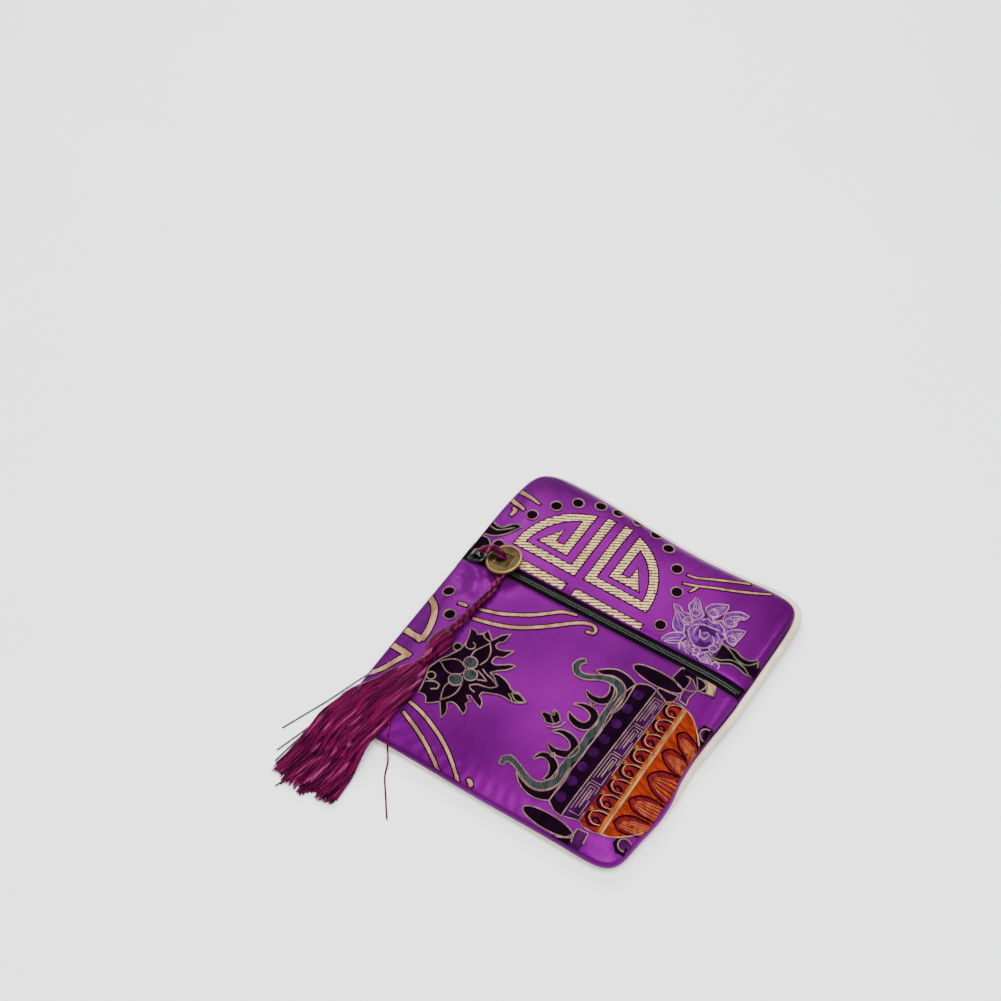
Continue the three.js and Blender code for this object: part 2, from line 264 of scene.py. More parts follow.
def thread_mesh(
    name: str,
    lines: Iterable[Sequence[Vector]],
    radius: float,
    material: bpy.types.Material,
    sides: int = 1,
    closed: bool = False,
    swell: Sequence[Sequence[float]] | None = None,
) -> bpy.types.Object:
    """Makes round threads along lines, as one mesh.

    Args:
        name: The object's name.
        lines: Each thread's points in millimetres.
        radius: The threads' radius in millimetres.
        material: Their finish.
        sides: How round they are.
        closed: Whether each thread joins its own start.
        swell: For each thread, its points' share of the radius.

    Returns:
        The object.
    """
    curve = bpy.data.curves.new(name, "CURVE")
    curve.dimensions = "3D"
    curve.bevel_depth = radius * MM
    curve.bevel_resolution = sides
    curve.use_fill_caps = not closed
    for index, line in enumerate(lines):
        spline = curve.splines.new("POLY")
        spline.points.add(len(line) - 1)
        spline.points.foreach_set(
            "co", [value for spot in line for value in (*(spot * MM), 1.0)]
        )
        if swell:
            spline.points.foreach_set("radius", swell[index])
        spline.use_cyclic_u = closed
    carrier = bpy.data.objects.new(name, curve)
    bpy.context.scene.collection.objects.link(carrier)
    bpy.context.view_layer.update()
    graph = bpy.context.evaluated_depsgraph_get()
    mesh = bpy.data.meshes.new_from_object(carrier.evaluated_get(graph))
    bpy.data.objects.remove(carrier)
    bpy.data.curves.remove(curve)
    mesh.shade_smooth()
    return new_object(name, mesh, material)


def show(piece: bpy.types.Object, slot: str, *nodes: str) -> bpy.types.Object:
    """Lets a piece ride on the purse and stand for its CAD nodes."""
    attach(piece, BODY)
    if nodes:
        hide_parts(*nodes)
    LOG.info("%s: %d vertices", piece.name, len(piece.data.vertices))
    return piece


# Finishes

class NodeSheet:
    """A node material while it is put together. Lengths in its textures are millimetres."""

    def __init__(self, name: str) -> None:
        """Starts a material with its Principled shader."""
        self.material = bpy.data.materials.new(name)
        self.material.use_nodes = True
        self.tree = self.material.node_tree
        self.shader = self.tree.nodes["Principled BSDF"]
        self.coordinates = self.tree.nodes.new("ShaderNodeTexCoord")

    def add(self, kind: str, inputs: dict | None = None, **settings: object) -> bpy.types.Node:
        """Adds a node.

        Args:
            kind: The node's type, without ShaderNode.
            inputs: Values or sockets for its inputs, by name or number.
            **settings: Its own settings.

        Returns:
            The node.
        """
        node = self.tree.nodes.new("ShaderNode" + kind)
        for key, value in settings.items():
            setattr(node, key, value)
        for key, value in (inputs or {}).items():
            if isinstance(value, bpy.types.NodeSocket):
                self.tree.links.new(value, node.inputs[key])
            else:
                node.inputs[key].default_value = value
        return node

    def place(
        self, stretch: Sequence[float] = (1, 1, 1), turn: float = 0.0, source: str = "Object"
    ) -> bpy.types.NodeSocket:
        """Returns texture coordinates in millimetres, turned by degrees and stretched."""
        turned = self.add(
            "Mapping",
            {"Vector": self.coordinates.outputs[source], "Rotation": (0, 0, math.radians(turn))},
            vector_type="TEXTURE",
        )
        scale = [value / MM if source == "Object" else value for value in stretch]
        return self.add(
            "Mapping", {"Vector": turned.outputs[0], "Scale": scale}
        ).outputs[0]

    def mottle(self, size: float, detail: float = 3.0, stretch: Sequence[float] = (1, 1, 1),
               turn: float = 0.0) -> bpy.types.NodeSocket:
        """Returns soft noise with spots of about a size in millimetres."""
        return self.add(
            "TexNoise",
            {"Vector": self.place(stretch, turn), "Scale": 1 / size, "Detail": detail},
        ).outputs["Fac"]

    def ribs(self, pitch: float, turn: float = 0.0, waver: float = 0.0,
             profile: str = "SIN") -> bpy.types.NodeSocket:
        """Returns parallel ribs with a pitch in millimetres, across the turned X axis."""
        return self.add(
            "TexWave",
            {"Vector": self.place(turn=turn), "Scale": TURN / 20 / pitch,
             "Distortion": waver, "Detail": 1.0, "Detail Scale": 0.6},
            wave_type="BANDS", bands_direction="X", wave_profile=profile,
        ).outputs["Fac"]

    def math(self, operation: str, first: object, second: object = 0.0) -> bpy.types.NodeSocket:
        """Returns the result of an operation on two values."""
        return self.add("Math", {0: first, 1: second}, operation=operation).outputs[0]

    def ramp(self, value: bpy.types.NodeSocket, low: float, high: float) -> bpy.types.NodeSocket:
        """Returns a value stretched so that low gives 0 and high gives 1."""
        return self.add(
            "MapRange", {"Value": value, "From Min": low, "From Max": high},
            interpolation_type="SMOOTHSTEP",
        ).outputs[0]

    def blend(self, share: object, first: object, second: object) -> bpy.types.NodeSocket:
        """Returns a mix of two colours."""
        node = self.add("Mix", data_type="RGBA")
        for key, value in ((0, share), (6, first), (7, second)):
            if isinstance(value, bpy.types.NodeSocket):
                self.tree.links.new(value, node.inputs[key])
            else:
                node.inputs[key].default_value = value
        return node.outputs[2]

    def finish(
        self,
        colour: object,
        roughness: object,
        height: bpy.types.NodeSocket | None = None,
        depth: float = 0.05,
        **constants: object,
    ) -> bpy.types.Material:
        """Joins the parts to the shader.

        Args:
            colour: The base colour or its socket.
            roughness: The roughness or its socket.
            height: The surface relief, from 0 to 1.
            depth: How deep the relief is in millimetres.
            **constants: Values set on the shader's own sockets.

        Returns:
            The finished material.
        """
        for key, value in (("Base Color", colour), ("Roughness", roughness)):
            if isinstance(value, bpy.types.NodeSocket):
                self.tree.links.new(value, self.shader.inputs[key])
            else:
                self.shader.inputs[key].default_value = value
        for key, value in constants.items():
            title = key.replace("_", " ").title().replace("Ior", "IOR")
            self.shader.inputs[title].default_value = value
        if height is not None:
            bump = self.add("Bump", {"Height": height, "Distance": depth * MM, "Strength": 1.0})
            self.tree.links.new(bump.outputs[0], self.shader.inputs["Normal"])
        return self.material


def rgb(red: int, green: int, blue: int) -> tuple[float, float, float, float]:
    """Returns a linear colour for the usual 0 to 255 values."""
    def linear(value: int) -> float:
        share = value / 255
        return share / 12.92 if share <= 0.04045 else ((share + 0.055) / 1.055) ** 2.4
    return linear(red), linear(green), linear(blue), 1.0


@dataclass(frozen=True)
class SatinFinish:
    """The brocade's ground: long floats of warp lying close together."""

    shade: tuple = rgb(64, 0, 70)
    light: tuple = rgb(92, 0, 97)
    gleam: tuple = rgb(196, 0, 214)
    float_length: float = 1.7
    float_width: float = 0.26
    cloud: float = 42.0
    cloud_share: float = 0.85
    grain: float = 1.6
    weave_share: float = 0.35
    least_rough: float = 0.3

    def material(self) -> bpy.types.Material:
        """Returns the purple satin."""
        sheet = NodeSheet("purple_satin")
        weave = sheet.add(
            "TexBrick",
            {"Vector": sheet.place(turn=90.0), "Scale": 1.0, "Mortar Size": 0.035,
             "Mortar Smooth": 0.6, "Brick Width": self.float_length,
             "Row Height": self.float_width, "Color1": (1, 1, 1, 1),
             "Color2": (0.55, 0.55, 0.55, 1), "Mortar": (0, 0, 0, 1)},
            offset=0.37, offset_frequency=2,
        )
        cloud = sheet.ramp(sheet.mottle(self.cloud, 1.0), 0.3, 0.7)
        grain = sheet.ramp(sheet.mottle(self.grain, 3.0, (1, 0.25, 1)), 0.25, 0.8)
        share = sheet.math("ADD", sheet.math("MULTIPLY", cloud, self.cloud_share),
                           sheet.math("MULTIPLY", grain, 1 - self.cloud_share))
        colour = sheet.blend(share, self.shade, self.light)
        colour = sheet.blend(
            sheet.math("MULTIPLY", weave.outputs["Fac"], self.weave_share), colour, self.shade
        )
        rough = sheet.math("MULTIPLY_ADD", grain, 0.1)
        rough.node.inputs[2].default_value = self.least_rough
        return sheet.finish(
            colour, rough, weave.outputs["Color"], 0.02,
            metallic=0.45, specular_ior_level=0.2, specular_tint=self.gleam,
        )


@dataclass(frozen=True)
class ThreadFinish:
    """Figure threads of the brocade, in fine ribs."""

    name: str
    shade: tuple
    light: tuple
    pitch: float = 0.5
    turn: float = 0.0
    gloss: float = 0.45
    streak: float = 3.0
    shine: float = 0.12

    def material(self) -> bpy.types.Material:
        """Returns the ribbed thread finish."""
        sheet = NodeSheet(self.name)
        ribs = sheet.ribs(self.pitch, self.turn, 1.2)
        streaks = sheet.ramp(sheet.mottle(self.streak, 2.0, (1, 0.3, 1), self.turn), 0.35, 0.65)
        share = sheet.math("MULTIPLY", sheet.math("ADD", ribs, streaks), 0.5)
        colour = sheet.blend(share, self.shade, self.light)
        return sheet.finish(
            colour, self.gloss, ribs, 0.06, specular_ior_level=self.shine,
        )


@dataclass(frozen=True)
class TwillFinish:
    """Gold figure threads in a coarse twill, bright floats between dark ties; the floats' cream is
    partly painted highlight.
    """

    name: str = "gold_twill"
    shade: tuple = rgb(52, 34, 16)
    middle: tuple = rgb(122, 92, 52)
    # light: the floats' cream, partly the gold's own colour and partly painted highlight
    light: tuple = rgb(206, 178, 128)
    pitch: float = 1.25

    def material(self) -> bpy.types.Material:
        """Returns the gold twill."""
        sheet = NodeSheet(self.name)
        twill = sheet.ribs(self.pitch, -60.0, 0.8)
        fine = sheet.ribs(0.42, -8.0, 0.6)
        grain = sheet.ramp(sheet.mottle(1.1, 2.0), 0.3, 0.7)
        share = sheet.math("ADD", sheet.math("MULTIPLY", twill, 0.62),
                           sheet.math("MULTIPLY", grain, 0.38))
        # The raised floats get the cream: partly the gold's own colour, partly painted highlight
        colour = sheet.blend(sheet.ramp(share, 0.35, 0.75), self.middle, self.light)
        colour = sheet.blend(sheet.ramp(share, 0.42, 0.2), colour, self.shade)
        height = sheet.math("ADD", sheet.math("MULTIPLY", twill, 0.7),
                            sheet.math("MULTIPLY", fine, 0.3))
        return sheet.finish(
            colour, 0.38, height, 0.12, specular_ior_level=0.25,
        )


@dataclass(frozen=True)
class WovenFinish:
    """Plain cloth such as the piping's bias satin and the zipper's tape."""

    name: str
    shade: tuple
    light: tuple
    pitch: float
    turn: float
    gloss: float
    sheen: float = 0.3
    shine: float = 0.4

    def material(self) -> bpy.types.Material:
        """Returns the woven cloth."""
        sheet = NodeSheet(self.name)
        one = sheet.ribs(self.pitch, self.turn, 0.3)
        other = sheet.ribs(self.pitch, self.turn + 90, 0.3)
        weave = sheet.math("MULTIPLY", sheet.math("ADD", one, other), 0.5)
        cloud = sheet.ramp(sheet.mottle(9.0), 0.3, 0.7)
        share = sheet.math("MULTIPLY", sheet.math("ADD", weave, cloud), 0.5)
        return sheet.finish(
            sheet.blend(share, self.shade, self.light), self.gloss, weave, 0.05,
            sheen_weight=self.sheen, sheen_roughness=0.4, specular_ior_level=self.shine,
        )


@dataclass(frozen=True)
class BrassFinish:
    """Aged brass, dull in the field and worn bright on the rims."""

    shade: tuple = rgb(52, 40, 18)
    light: tuple = rgb(138, 112, 66)
    tarnish: tuple = rgb(34, 28, 16)

    def material(self) -> bpy.types.Material:
        """Returns the aged brass."""
        sheet = NodeSheet("aged_brass")
        worn = sheet.ramp(sheet.add("NewGeometry").outputs["Pointiness"], 0.5, 0.56)
        spots = sheet.ramp(sheet.mottle(4.0, 3.0), 0.2, 0.8)
        dull = sheet.blend(spots, self.tarnish, self.shade)
        share = sheet.math("MAXIMUM", worn, sheet.math("MULTIPLY", spots, 0.2))
        rough = sheet.math("MULTIPLY_ADD", spots, -0.18)
        rough.node.inputs[2].default_value = 0.5
        return sheet.finish(
            sheet.blend(share, dull, self.light), rough,
            sheet.mottle(0.7, 4.0), 0.02, metallic=0.9,
        )


@dataclass(frozen=True)
class StrandFinish:
    """Twisted rayon thread, whose colour changes from thread to thread, with painted highlight
    streaks along it.
    """

    name: str
    shade: tuple
    light: tuple
    # highlight: colour of the painted highlight streaks, also the gloss tint
    highlight: tuple
    spread: float = 0.9
    gloss: float = 0.3
    lean: float = -14.0

    def material(self) -> bpy.types.Material:
        """Returns the glossy strand finish, with painted highlight streaks in its base colour."""
        sheet = NodeSheet(self.name)
        apart = sheet.ramp(sheet.mottle(self.spread, 1.0, (1, 0.03, 0.4), self.lean), 0.35, 0.62)
        twist = sheet.ribs(0.55, 35.0, 0.5)
        colour = sheet.blend(apart, self.shade, self.light)
        # Painted highlight: streaks of noise along the strands mix the highlight colour into the
        # base colour
        bright = sheet.ramp(sheet.mottle(1.4, 1.0, (1, 0.05, 0.5), self.lean), 0.58, 0.72)
        colour = sheet.blend(sheet.math("MULTIPLY", bright, 0.5), colour, self.highlight)
        colour = sheet.blend(sheet.math("MULTIPLY", twist, 0.3), colour, self.shade)
        return sheet.finish(
            colour, self.gloss, twist, 0.05, specular_ior_level=0.35,
            specular_tint=self.highlight,
        )


@dataclass(frozen=True)
class DarkFinish:
    """Black nylon or enamel with faint scuffs."""

    name: str
    shade: tuple
    light: tuple
    gloss: float
    metal: float = 0.0

    def material(self) -> bpy.types.Material:
        """Returns the dark finish."""
        sheet = NodeSheet(self.name)
        scuffs = sheet.ramp(sheet.mottle(1.5, 5.0), 0.45, 0.75)
        rough = sheet.math("MULTIPLY_ADD", scuffs, 0.2)
        rough.node.inputs[2].default_value = self.gloss
        return sheet.finish(
            sheet.blend(scuffs, self.shade, self.light), rough,
            sheet.mottle(0.5, 3.0), 0.015, metallic=self.metal,
        )


class Thread(Enum):
    """The threads that figure the brocade."""

    TWILL = "gold_twill"
    GOLD = "gold_thread"
    DARK = "dark_thread"
    NIGHT = "night_thread"
    SLATE = "slate_thread"
    LILAC = "lilac_thread"
    ORANGE = "orange_thread"
    RED = "red_thread"
    PURPLE = "purple_thread"
    PALE = "pale_thread"
    GREEN = "green_thread"
    VIOLET = "violet_thread"
    MAUVE = "mauve_thread"
    AMBER = "amber_thread"
    ROSE = "rose_thread"

    def material(self) -> bpy.types.Material:
        """Returns the thread's finish."""
        made = bpy.data.materials.get(self.value)
        return made or THREADS[self].material()


def threads(thread: Thread, *look: object) -> dict[Thread, "ThreadFinish"]:
    """Returns a thread's row of the table: shade, light, then pitch, turn and so on."""
    return {thread: ThreadFinish(thread.value, *look)}


THREADS: dict[Thread, TwillFinish | ThreadFinish] = {
    Thread.TWILL: TwillFinish(),
    **threads(Thread.GOLD, rgb(86, 56, 40), rgb(168, 132, 96), 0.7, 30.0),
    **threads(Thread.DARK, rgb(3, 0, 3), rgb(22, 1, 22), 0.6, 10.0, 0.75, 3.0, 0.02),
    **threads(Thread.NIGHT, rgb(20, 0, 24), rgb(50, 0, 60), 0.5, 0.0, 0.7, 3.0, 0.03),
    **threads(Thread.SLATE, rgb(8, 13, 15), rgb(48, 56, 56), 0.8, 20.0, 0.6, 1.2, 0.05),
    **threads(Thread.LILAC, rgb(34, 2, 56), rgb(104, 44, 128), 0.7, 60.0, 0.55, 1.0, 0.06),
    **threads(Thread.VIOLET, rgb(22, 0, 36), rgb(60, 8, 76), 0.7, 60.0, 0.6, 2.0, 0.04),
    **threads(Thread.MAUVE, rgb(96, 50, 90), rgb(166, 120, 148), 0.7, 40.0, 0.55, 2.0, 0.08),
    **threads(Thread.ORANGE, rgb(66, 8, 0), rgb(138, 38, 0), 0.8, 70.0, 0.6, 1.4, 0.05),
    **threads(Thread.AMBER, rgb(84, 34, 4), rgb(154, 84, 14), 0.6, 40.0, 0.55, 2.0, 0.08),
    **threads(Thread.ROSE, rgb(84, 18, 24), rgb(150, 66, 52), 0.6, 40.0, 0.55, 2.0, 0.08),
    **threads(Thread.RED, rgb(44, 0, 12), rgb(108, 18, 12), 0.9, 75.0, 0.6, 1.4, 0.05),
    **threads(Thread.PURPLE, rgb(28, 0, 32), rgb(70, 0, 74), 0.3, 0.0, 0.55, 3.0, 0.06),
    **threads(Thread.PALE, rgb(62, 42, 46), rgb(132, 104, 96), 0.8, 40.0),
    **threads(Thread.GREEN, rgb(50, 50, 40), rgb(108, 102, 80), 0.8, 40.0),
}


# The purse's own form, the same as the solids' apart from the lower right corner's dip

@dataclass(frozen=True)
class PurseForm:
    """The shape that all pieces lie on. Millimetres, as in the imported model."""

    length: float = 132.0
    half_width: float = 56.2
    half_length: float = 63.2
    power: float = 14.43
    thickness: float = 10.0
    wall: float = 1.6
    fit_gap: float = 0.3
    seam_height: float = 4.4
    seam_inset: float = 2.8
    piping_lip: float = 0.4
    piping_radius: float = 1.25
    face_squareness: float = 8.0
    shoulder_power: float = 0.7
    flat_base: float = 0.85
    base_power: float = 1.5
    zipper_level: float = 16.6
    zipper_slant: float = 0.022
    mouth: float = 4.8
    roll_from: float = 0.955
    top_dip: tuple = (0.26, 0.95, 0.024)
    right_dip: tuple = (-0.22, 0.45, 0.012)
    corner_dip: tuple = (-0.84, 0.42, 0.024)
    rolls: tuple = (
        (0, 0), (0.12, 0), (0.2, 0.25), (0.34, 0.3), (0.42, 0.9), (0.6, 1), (0.66, 0.9),
        (0.75, 0.95), (0.83, 0.88), (0.9, 1), (0.96, 0.4), (1, 0),
    )
    hangs: tuple = (
        (0, 1), (0.12, 1), (0.2, 1.1), (0.42, 1.6), (0.6, 1.7), (0.66, 1.8), (0.75, 1.9),
        (0.83, 1.8), (0.9, 2), (0.955, 2), (0.985, 1.1), (1, 1),
    )
    # Soft folds of the face: start, end, half width and height of each ridge
    ridges: tuple = (
        ((55.0, 56.0), (54.6, 30.0), 1.1, 0.7),
        ((50.5, 54.0), (50.8, 28.0), 3.2, -0.55),
        ((54.4, 14.0), (54.6, 0.0), 1.3, 0.8),
        ((49.6, 12.0), (50.0, 0.0), 2.6, -0.5),
        ((-53.0, 11.5), (-48.0, 7.5), 1.6, 0.55),
        ((-48.0, 7.5), (-45.5, 1.0), 1.8, 0.45),
        ((-53.0, 5.0), (-50.5, 0.0), 1.8, -0.45),
        ((-44.0, 11.0), (-36.0, 8.5), 2.4, -0.3),
        ((-40.0, 58.5), (-20.0, 59.5), 3.0, 0.2),
        ((-30.0, -61.0), (20.0, -61.0), 2.5, 0.2),
    )

    def reach(self, x: float, y: float) -> float:
        """Returns 0 at the middle and 1 on the seam."""
        across = abs(x / self.half_width) ** self.power
        along = abs(y / self.half_length) ** self.power
        return (across + along) ** (1 / self.power)

    def outward(self, x: float, y: float) -> Vector:
        """Returns the direction out of the rim in plan."""
        across = abs(x / self.half_width) ** (self.power - 1) / self.half_width
        along = abs(y / self.half_length) ** (self.power - 1) / self.half_length
        way = Vector((math.copysign(across, x), math.copysign(along, y), 0.0))
        return way.normalized()

    def around(self, x: float, y: float) -> float:
        """Returns the share of the way round the rim, from the middle of the right side."""
        return math.atan2(y / self.half_length, x / self.half_width) / TURN % 1.0

    def roll(self, x: float, y: float) -> float:
        """Returns how far the piping is rolled under the face there, 0 to 1."""
        return look_up(self.rolls, self.around(x, y))

    def sagged(self, x: float, y: float) -> Vector:
        """Returns a place in plan after the rim has sagged in."""
        place = Vector((x, y, 0.0))
        across, along = x / self.half_width, y / self.half_length
        if y > 0:
            at, far, depth = self.top_dip
            dip = 1 - smoothstep(abs(across - at) / far)
            place.y -= depth * self.length * dip * along**3
        if x > 0:
            for at, far, depth in (self.right_dip, self.corner_dip):
                dip = 1 - smoothstep(abs(along - at) / far)
                place.x -= depth * self.length * dip * across**3
        return place

    def overhang(self, x: float, y: float) -> float:
        """Returns how far the face's edge stands out over the piping."""
        return (self.seam_inset - self.piping_lip) * max(2 * self.roll(x, y) - 1, 0.0)

    def plan(self, x: float, y: float) -> Vector:
        """Returns where a place of the unsagged face lies in plan."""
        place = self.sagged(x, y)
        rolled = smoothstep(self.reach(x, y), self.roll_from, 1.0)
        if rolled > 0:
            place += self.outward(x, y) * (self.overhang(x, y) * rolled)
        return place

    def unsagged(self, x: float, y: float) -> Vector:
        """Returns the place of the unsagged face that lies at a place in plan."""
        guess = Vector((x, y, 0.0))
        for _ in range(9):
            miss = self.plan(guess.x, guess.y) - Vector((x, y, 0.0))
            if miss.length < 0.01:
                break
            guess -= miss * 0.6
        return guess

    def zipper_y(self, x: float) -> float:
        """Returns the zipper's middle line."""
        return self.zipper_level + self.zipper_slant * x

    def face_z(self, reach: float) -> float:
        """Returns the height of the face's outer side."""
        loft = self.thickness - self.seam_height - self.wall - self.fit_gap / 2
        rise = (1 - min(reach, 1.0) ** self.face_squareness) ** self.shoulder_power
        return self.seam_height + self.wall + self.fit_gap / 2 + loft * rise

    def base_z(self, reach: float) -> float:
        """Returns the height of the base's outer side."""
        rim = self.seam_height - self.wall - self.fit_gap / 2
        share = min(max((reach - self.flat_base) / (1 - self.flat_base), 0.0), 1.0)
        return rim * share**self.base_power

    def folds(self, x: float, y: float, reach: float) -> float:
        """Returns the cloth's soft relief over the plain face."""
        relief = 0.0
        here = Vector((x, y))
        for start, end, width, height in self.ridges:
            run = Vector(end) - Vector(start)
            share = min(max((here - Vector(start)).dot(run) / run.length_squared, 0.0), 1.0)
            apart = (here - Vector(start) - run * share).length / width
            if apart < 3:
                relief += height * math.exp(-apart * apart)
        relief += 0.22 * noise.noise(Vector((x / 26, y / 26, 3.0)))
        relief += 0.09 * noise.noise(Vector((x / 9, y / 9, 7.0)))
        near = max(1 - reach, 0.0) * self.half_width / 4
        if near < 2:
            along = math.atan2(y, x) / TURN * 84
            pucker = math.sin(TURN * along + 2 * noise.noise(Vector((x / 12, y / 12, 1.0))))
            relief += 0.1 * pucker * math.exp(-near * near)
        lip = (abs(y - self.zipper_y(x)) - self.mouth / 2) / 1.3
        if lip < 3:
            relief -= 0.35 * math.exp(-lip * lip)
        return relief * smoothstep(1 - reach, 0.0, 0.03)

    def on_face(self, x: float, y: float, lift: float = 0.0) -> Vector:
        """Returns the point of the face over a place in plan."""
        flat = self.unsagged(x, y)
        reach = self.reach(flat.x, flat.y)
        return Vector((x, y, self.face_z(reach) + self.folds(x, y, reach) + lift))


@dataclass(frozen=True)
class PhotoView:
    """The photograph's camera, fitted to the rim, the zipper and the round figure."""

    azimuth: float = 33.3
    elevation: float = 54.0
    distance: float = 870.0
    focal: float = 2322.0
    size: int = 1001
    target: tuple = (-63.4, 46.1, 0.0)

    def axes(self) -> tuple[Sequence[float], Sequence[float], Sequence[float]]:
        """Returns the ways back to the camera, to the picture's right and to its top."""
        turn, rise = math.radians(self.azimuth), math.radians(self.elevation)
        level = (math.sin(turn), -math.cos(turn))
        back = (level[0] * math.cos(rise), level[1] * math.cos(rise), math.sin(rise))
        right = (-level[1], level[0], 0.0)
        top = (-level[0] * math.sin(rise), -level[1] * math.sin(rise), math.cos(rise))
        return back, right, top

    def at_height(self, across: float, down: float, height: float) -> Point:
        """Returns the place in plan that a picture point shows at a height."""
        back, right, top = self.axes()
        eye = [self.target[k] + back[k] * self.distance for k in range(3)]
        aside = (across - self.size / 2) / self.focal
        below = (down - self.size / 2) / self.focal
        ray = [-back[k] + aside * right[k] - below * top[k] for k in range(3)]
        run = (height - eye[2]) / ray[2]
        return eye[0] + ray[0] * run, eye[1] + ray[1] * run


@dataclass(frozen=True)
class Crop:
    """An enlarged crop of the photograph, in which points of the figures were read."""

    left: float
    top: float
    zoom: float
    view: PhotoView = PhotoView()
    form: PurseForm = PurseForm()

    def read(self, *points: Point) -> Path:
        """Returns the places on the face of points of the crop.

        Args:
            points: Crop pixels across and down, as read.

        Returns:
            Millimetres in plan, to a tenth, as finely as the points could be read.
        """
        places = []
        for across, down in points:
            height = self.form.thickness
            for _ in range(6):
                x, y = self.view.at_height(
                    self.left + across / self.zoom, self.top + down / self.zoom, height
                )
                height = self.form.face_z(min(self.form.reach(x, y), 1.0))
            places.append((round(x, 1), round(y, 1)))
        return tuple(places)


BURNER_CROP = Crop(490, 640, 6.25)
LOTUS_CROP = Crop(400, 600, 9.375)
FLOWER_CROP = Crop(640, 570, 7.5)


@dataclass
class SoftPanels:
    """The padded front in two parts and the back, each one cloth with turned edges."""

    form: PurseForm
    cells_across: int = 112
    cells_along: int = 126
    shoulder: tuple = (0.967, 0.978, 0.987, 0.993, 0.997, 1.0)
    tuck: tuple = ((-0.1, 0.35), (0.0, 0.85), (-0.2, 1.35), (-0.9, 1.65))
    cover: tuple = (
        (0, 0), (0.1, 0), (0.16, 0.8), (0.34, 0.8), (0.42, 0.5), (0.83, 0.4), (0.88, 0.5),
        (0.95, 0.6), (0.985, 0.1), (1, 0),
    )
    cloth: float = 0.8
    edge_round: float = 0.45
    fold_stop: float = 0.6
    fold_under: tuple = ((0.3, -0.2), (0.15, -0.4), (-0.25, -0.45), (-0.7, -0.1))

    def flat_cloth(self) -> bmesh.types.BMesh:
        """Returns the cloth laid flat: z counts the rings tucked in past the rim."""
        form = self.form
        shape = bmesh.new()
        bmesh.ops.create_grid(
            shape, x_segments=self.cells_across, y_segments=self.cells_along, size=1.0
        )
        for vert in shape.verts:
            u, v = vert.co.x, vert.co.y
            share = form.roll_from * max(abs(u), abs(v))
            around = form.reach(u * form.half_width, v * form.half_length)
            if around > 0:
                vert.co.x = u * form.half_width * share / around
                vert.co.y = v * form.half_length * share / around
        rim = [edge for edge in shape.edges if edge.is_boundary]
        for ring, share in enumerate([*self.shoulder, *[1.0] * len(self.tuck)]):
            grown = bmesh.ops.extrude_edge_only(shape, edges=rim)["geom"]
            for vert in [item for item in grown if isinstance(item, bmesh.types.BMVert)]:
                vert.co.xy = vert.co.xy * (share / form.reach(vert.co.x, vert.co.y))
                vert.co.z = max(ring + 1 - len(self.shoulder), 0)
            rim = [item for item in grown if isinstance(item, bmesh.types.BMEdge)]
        return shape

    def tucked(self, place: Vector, height: float, down: float) -> Vector:
        """Returns where a vertex past the rim goes.

        Args:
            place: Its flat place, with the ring number as z.
            height: The height of the rim.
            down: -1 to tuck downwards, 1 to tuck upwards.

        Returns:
            The place in millimetres.
        """
        ring = place.z - 1
        low = min(int(ring), len(self.tuck) - 2) if ring > 0 else 0
        share = min(max(ring - low, 0.0), 1.0)
        out = lerp(self.tuck[low][0], self.tuck[low + 1][0], share)
        drop = lerp(self.tuck[low][1], self.tuck[low + 1][1], share)
        spot = self.form.sagged(place.x, place.y)
        if down < 0:
            spot += self.form.outward(place.x, place.y) * self.form.overhang(place.x, place.y)
            around = self.form.around(place.x, place.y)
            out += look_up(self.cover, around)
            drop *= look_up(self.form.hangs, around)
        spot += self.form.outward(place.x, place.y) * out
        spot.z = height + down * drop
        return spot

    def front(self, side: int, material: bpy.types.Material) -> bpy.types.Object:
        """Makes the part of the front above or below the zipper.

        Args:
            side: 1 for the part above it, -1 for the part below it.
            material: The satin.

        Returns:
            The panel.
        """
        form = self.form
        shape = self.flat_cloth()
        edge = form.zipper_level + side * (form.mouth / 2 + self.edge_round)
        cut = bmesh.ops.bisect_plane(
            shape, geom=[*shape.verts, *shape.edges, *shape.faces], dist=1e-5,
            plane_co=(0, edge, 0), plane_no=(-form.zipper_slant * side, side, 0),
            clear_inner=True,
        )["geom_cut"]
        lip = [item for item in cut if isinstance(item, bmesh.types.BMEdge)]
        for vert in shape.verts:
            if vert.co.z > 0:
                vert.co = self.tucked(vert.co, form.face_z(1.0), -1)
            else:
                reach = form.reach(vert.co.x, vert.co.y)
                spot = form.plan(vert.co.x, vert.co.y)
                vert.co = (spot.x, spot.y, form.face_z(reach) + form.folds(spot.x, spot.y, reach))
        reach_x = form.half_width - self.fold_stop
        lip = [edge for edge in lip if max(abs(vert.co.x) for vert in edge.verts) < reach_x]
        for step, drop in self.fold_under:
            grown = bmesh.ops.extrude_edge_only(shape, edges=lip)["geom"]
            for vert in [item for item in grown if isinstance(item, bmesh.types.BMVert)]:
                inside = 1 - smoothstep(abs(vert.co.x), reach_x - 3, reach_x)
                vert.co += Vector((0, -side * step * lerp(0.1, 1, inside), drop * inside))
            lip = [item for item in grown if isinstance(item, bmesh.types.BMEdge)]
        bmesh.ops.recalc_face_normals(shape, faces=shape.faces)
        return self.as_panel(f"front_{'upper' if side > 0 else 'lower'}_cloth", shape, material, 1)

    def back(self, material: bpy.types.Material) -> bpy.types.Object:
        """Makes the back.

        Args:
            material: The satin.

        Returns:
            The panel.
        """
        form = self.form
        shape = self.flat_cloth()
        for vert in shape.verts:
            if vert.co.z > 0:
                vert.co = self.tucked(vert.co, form.base_z(1.0), 1)
            else:
                reach = form.reach(vert.co.x, vert.co.y)
                spot = form.sagged(vert.co.x, vert.co.y)
                vert.co = (spot.x, spot.y, form.base_z(reach) + 0.15)
        bmesh.ops.recalc_face_normals(shape, faces=shape.faces)
        return self.as_panel("back_cloth", shape, material, -1)

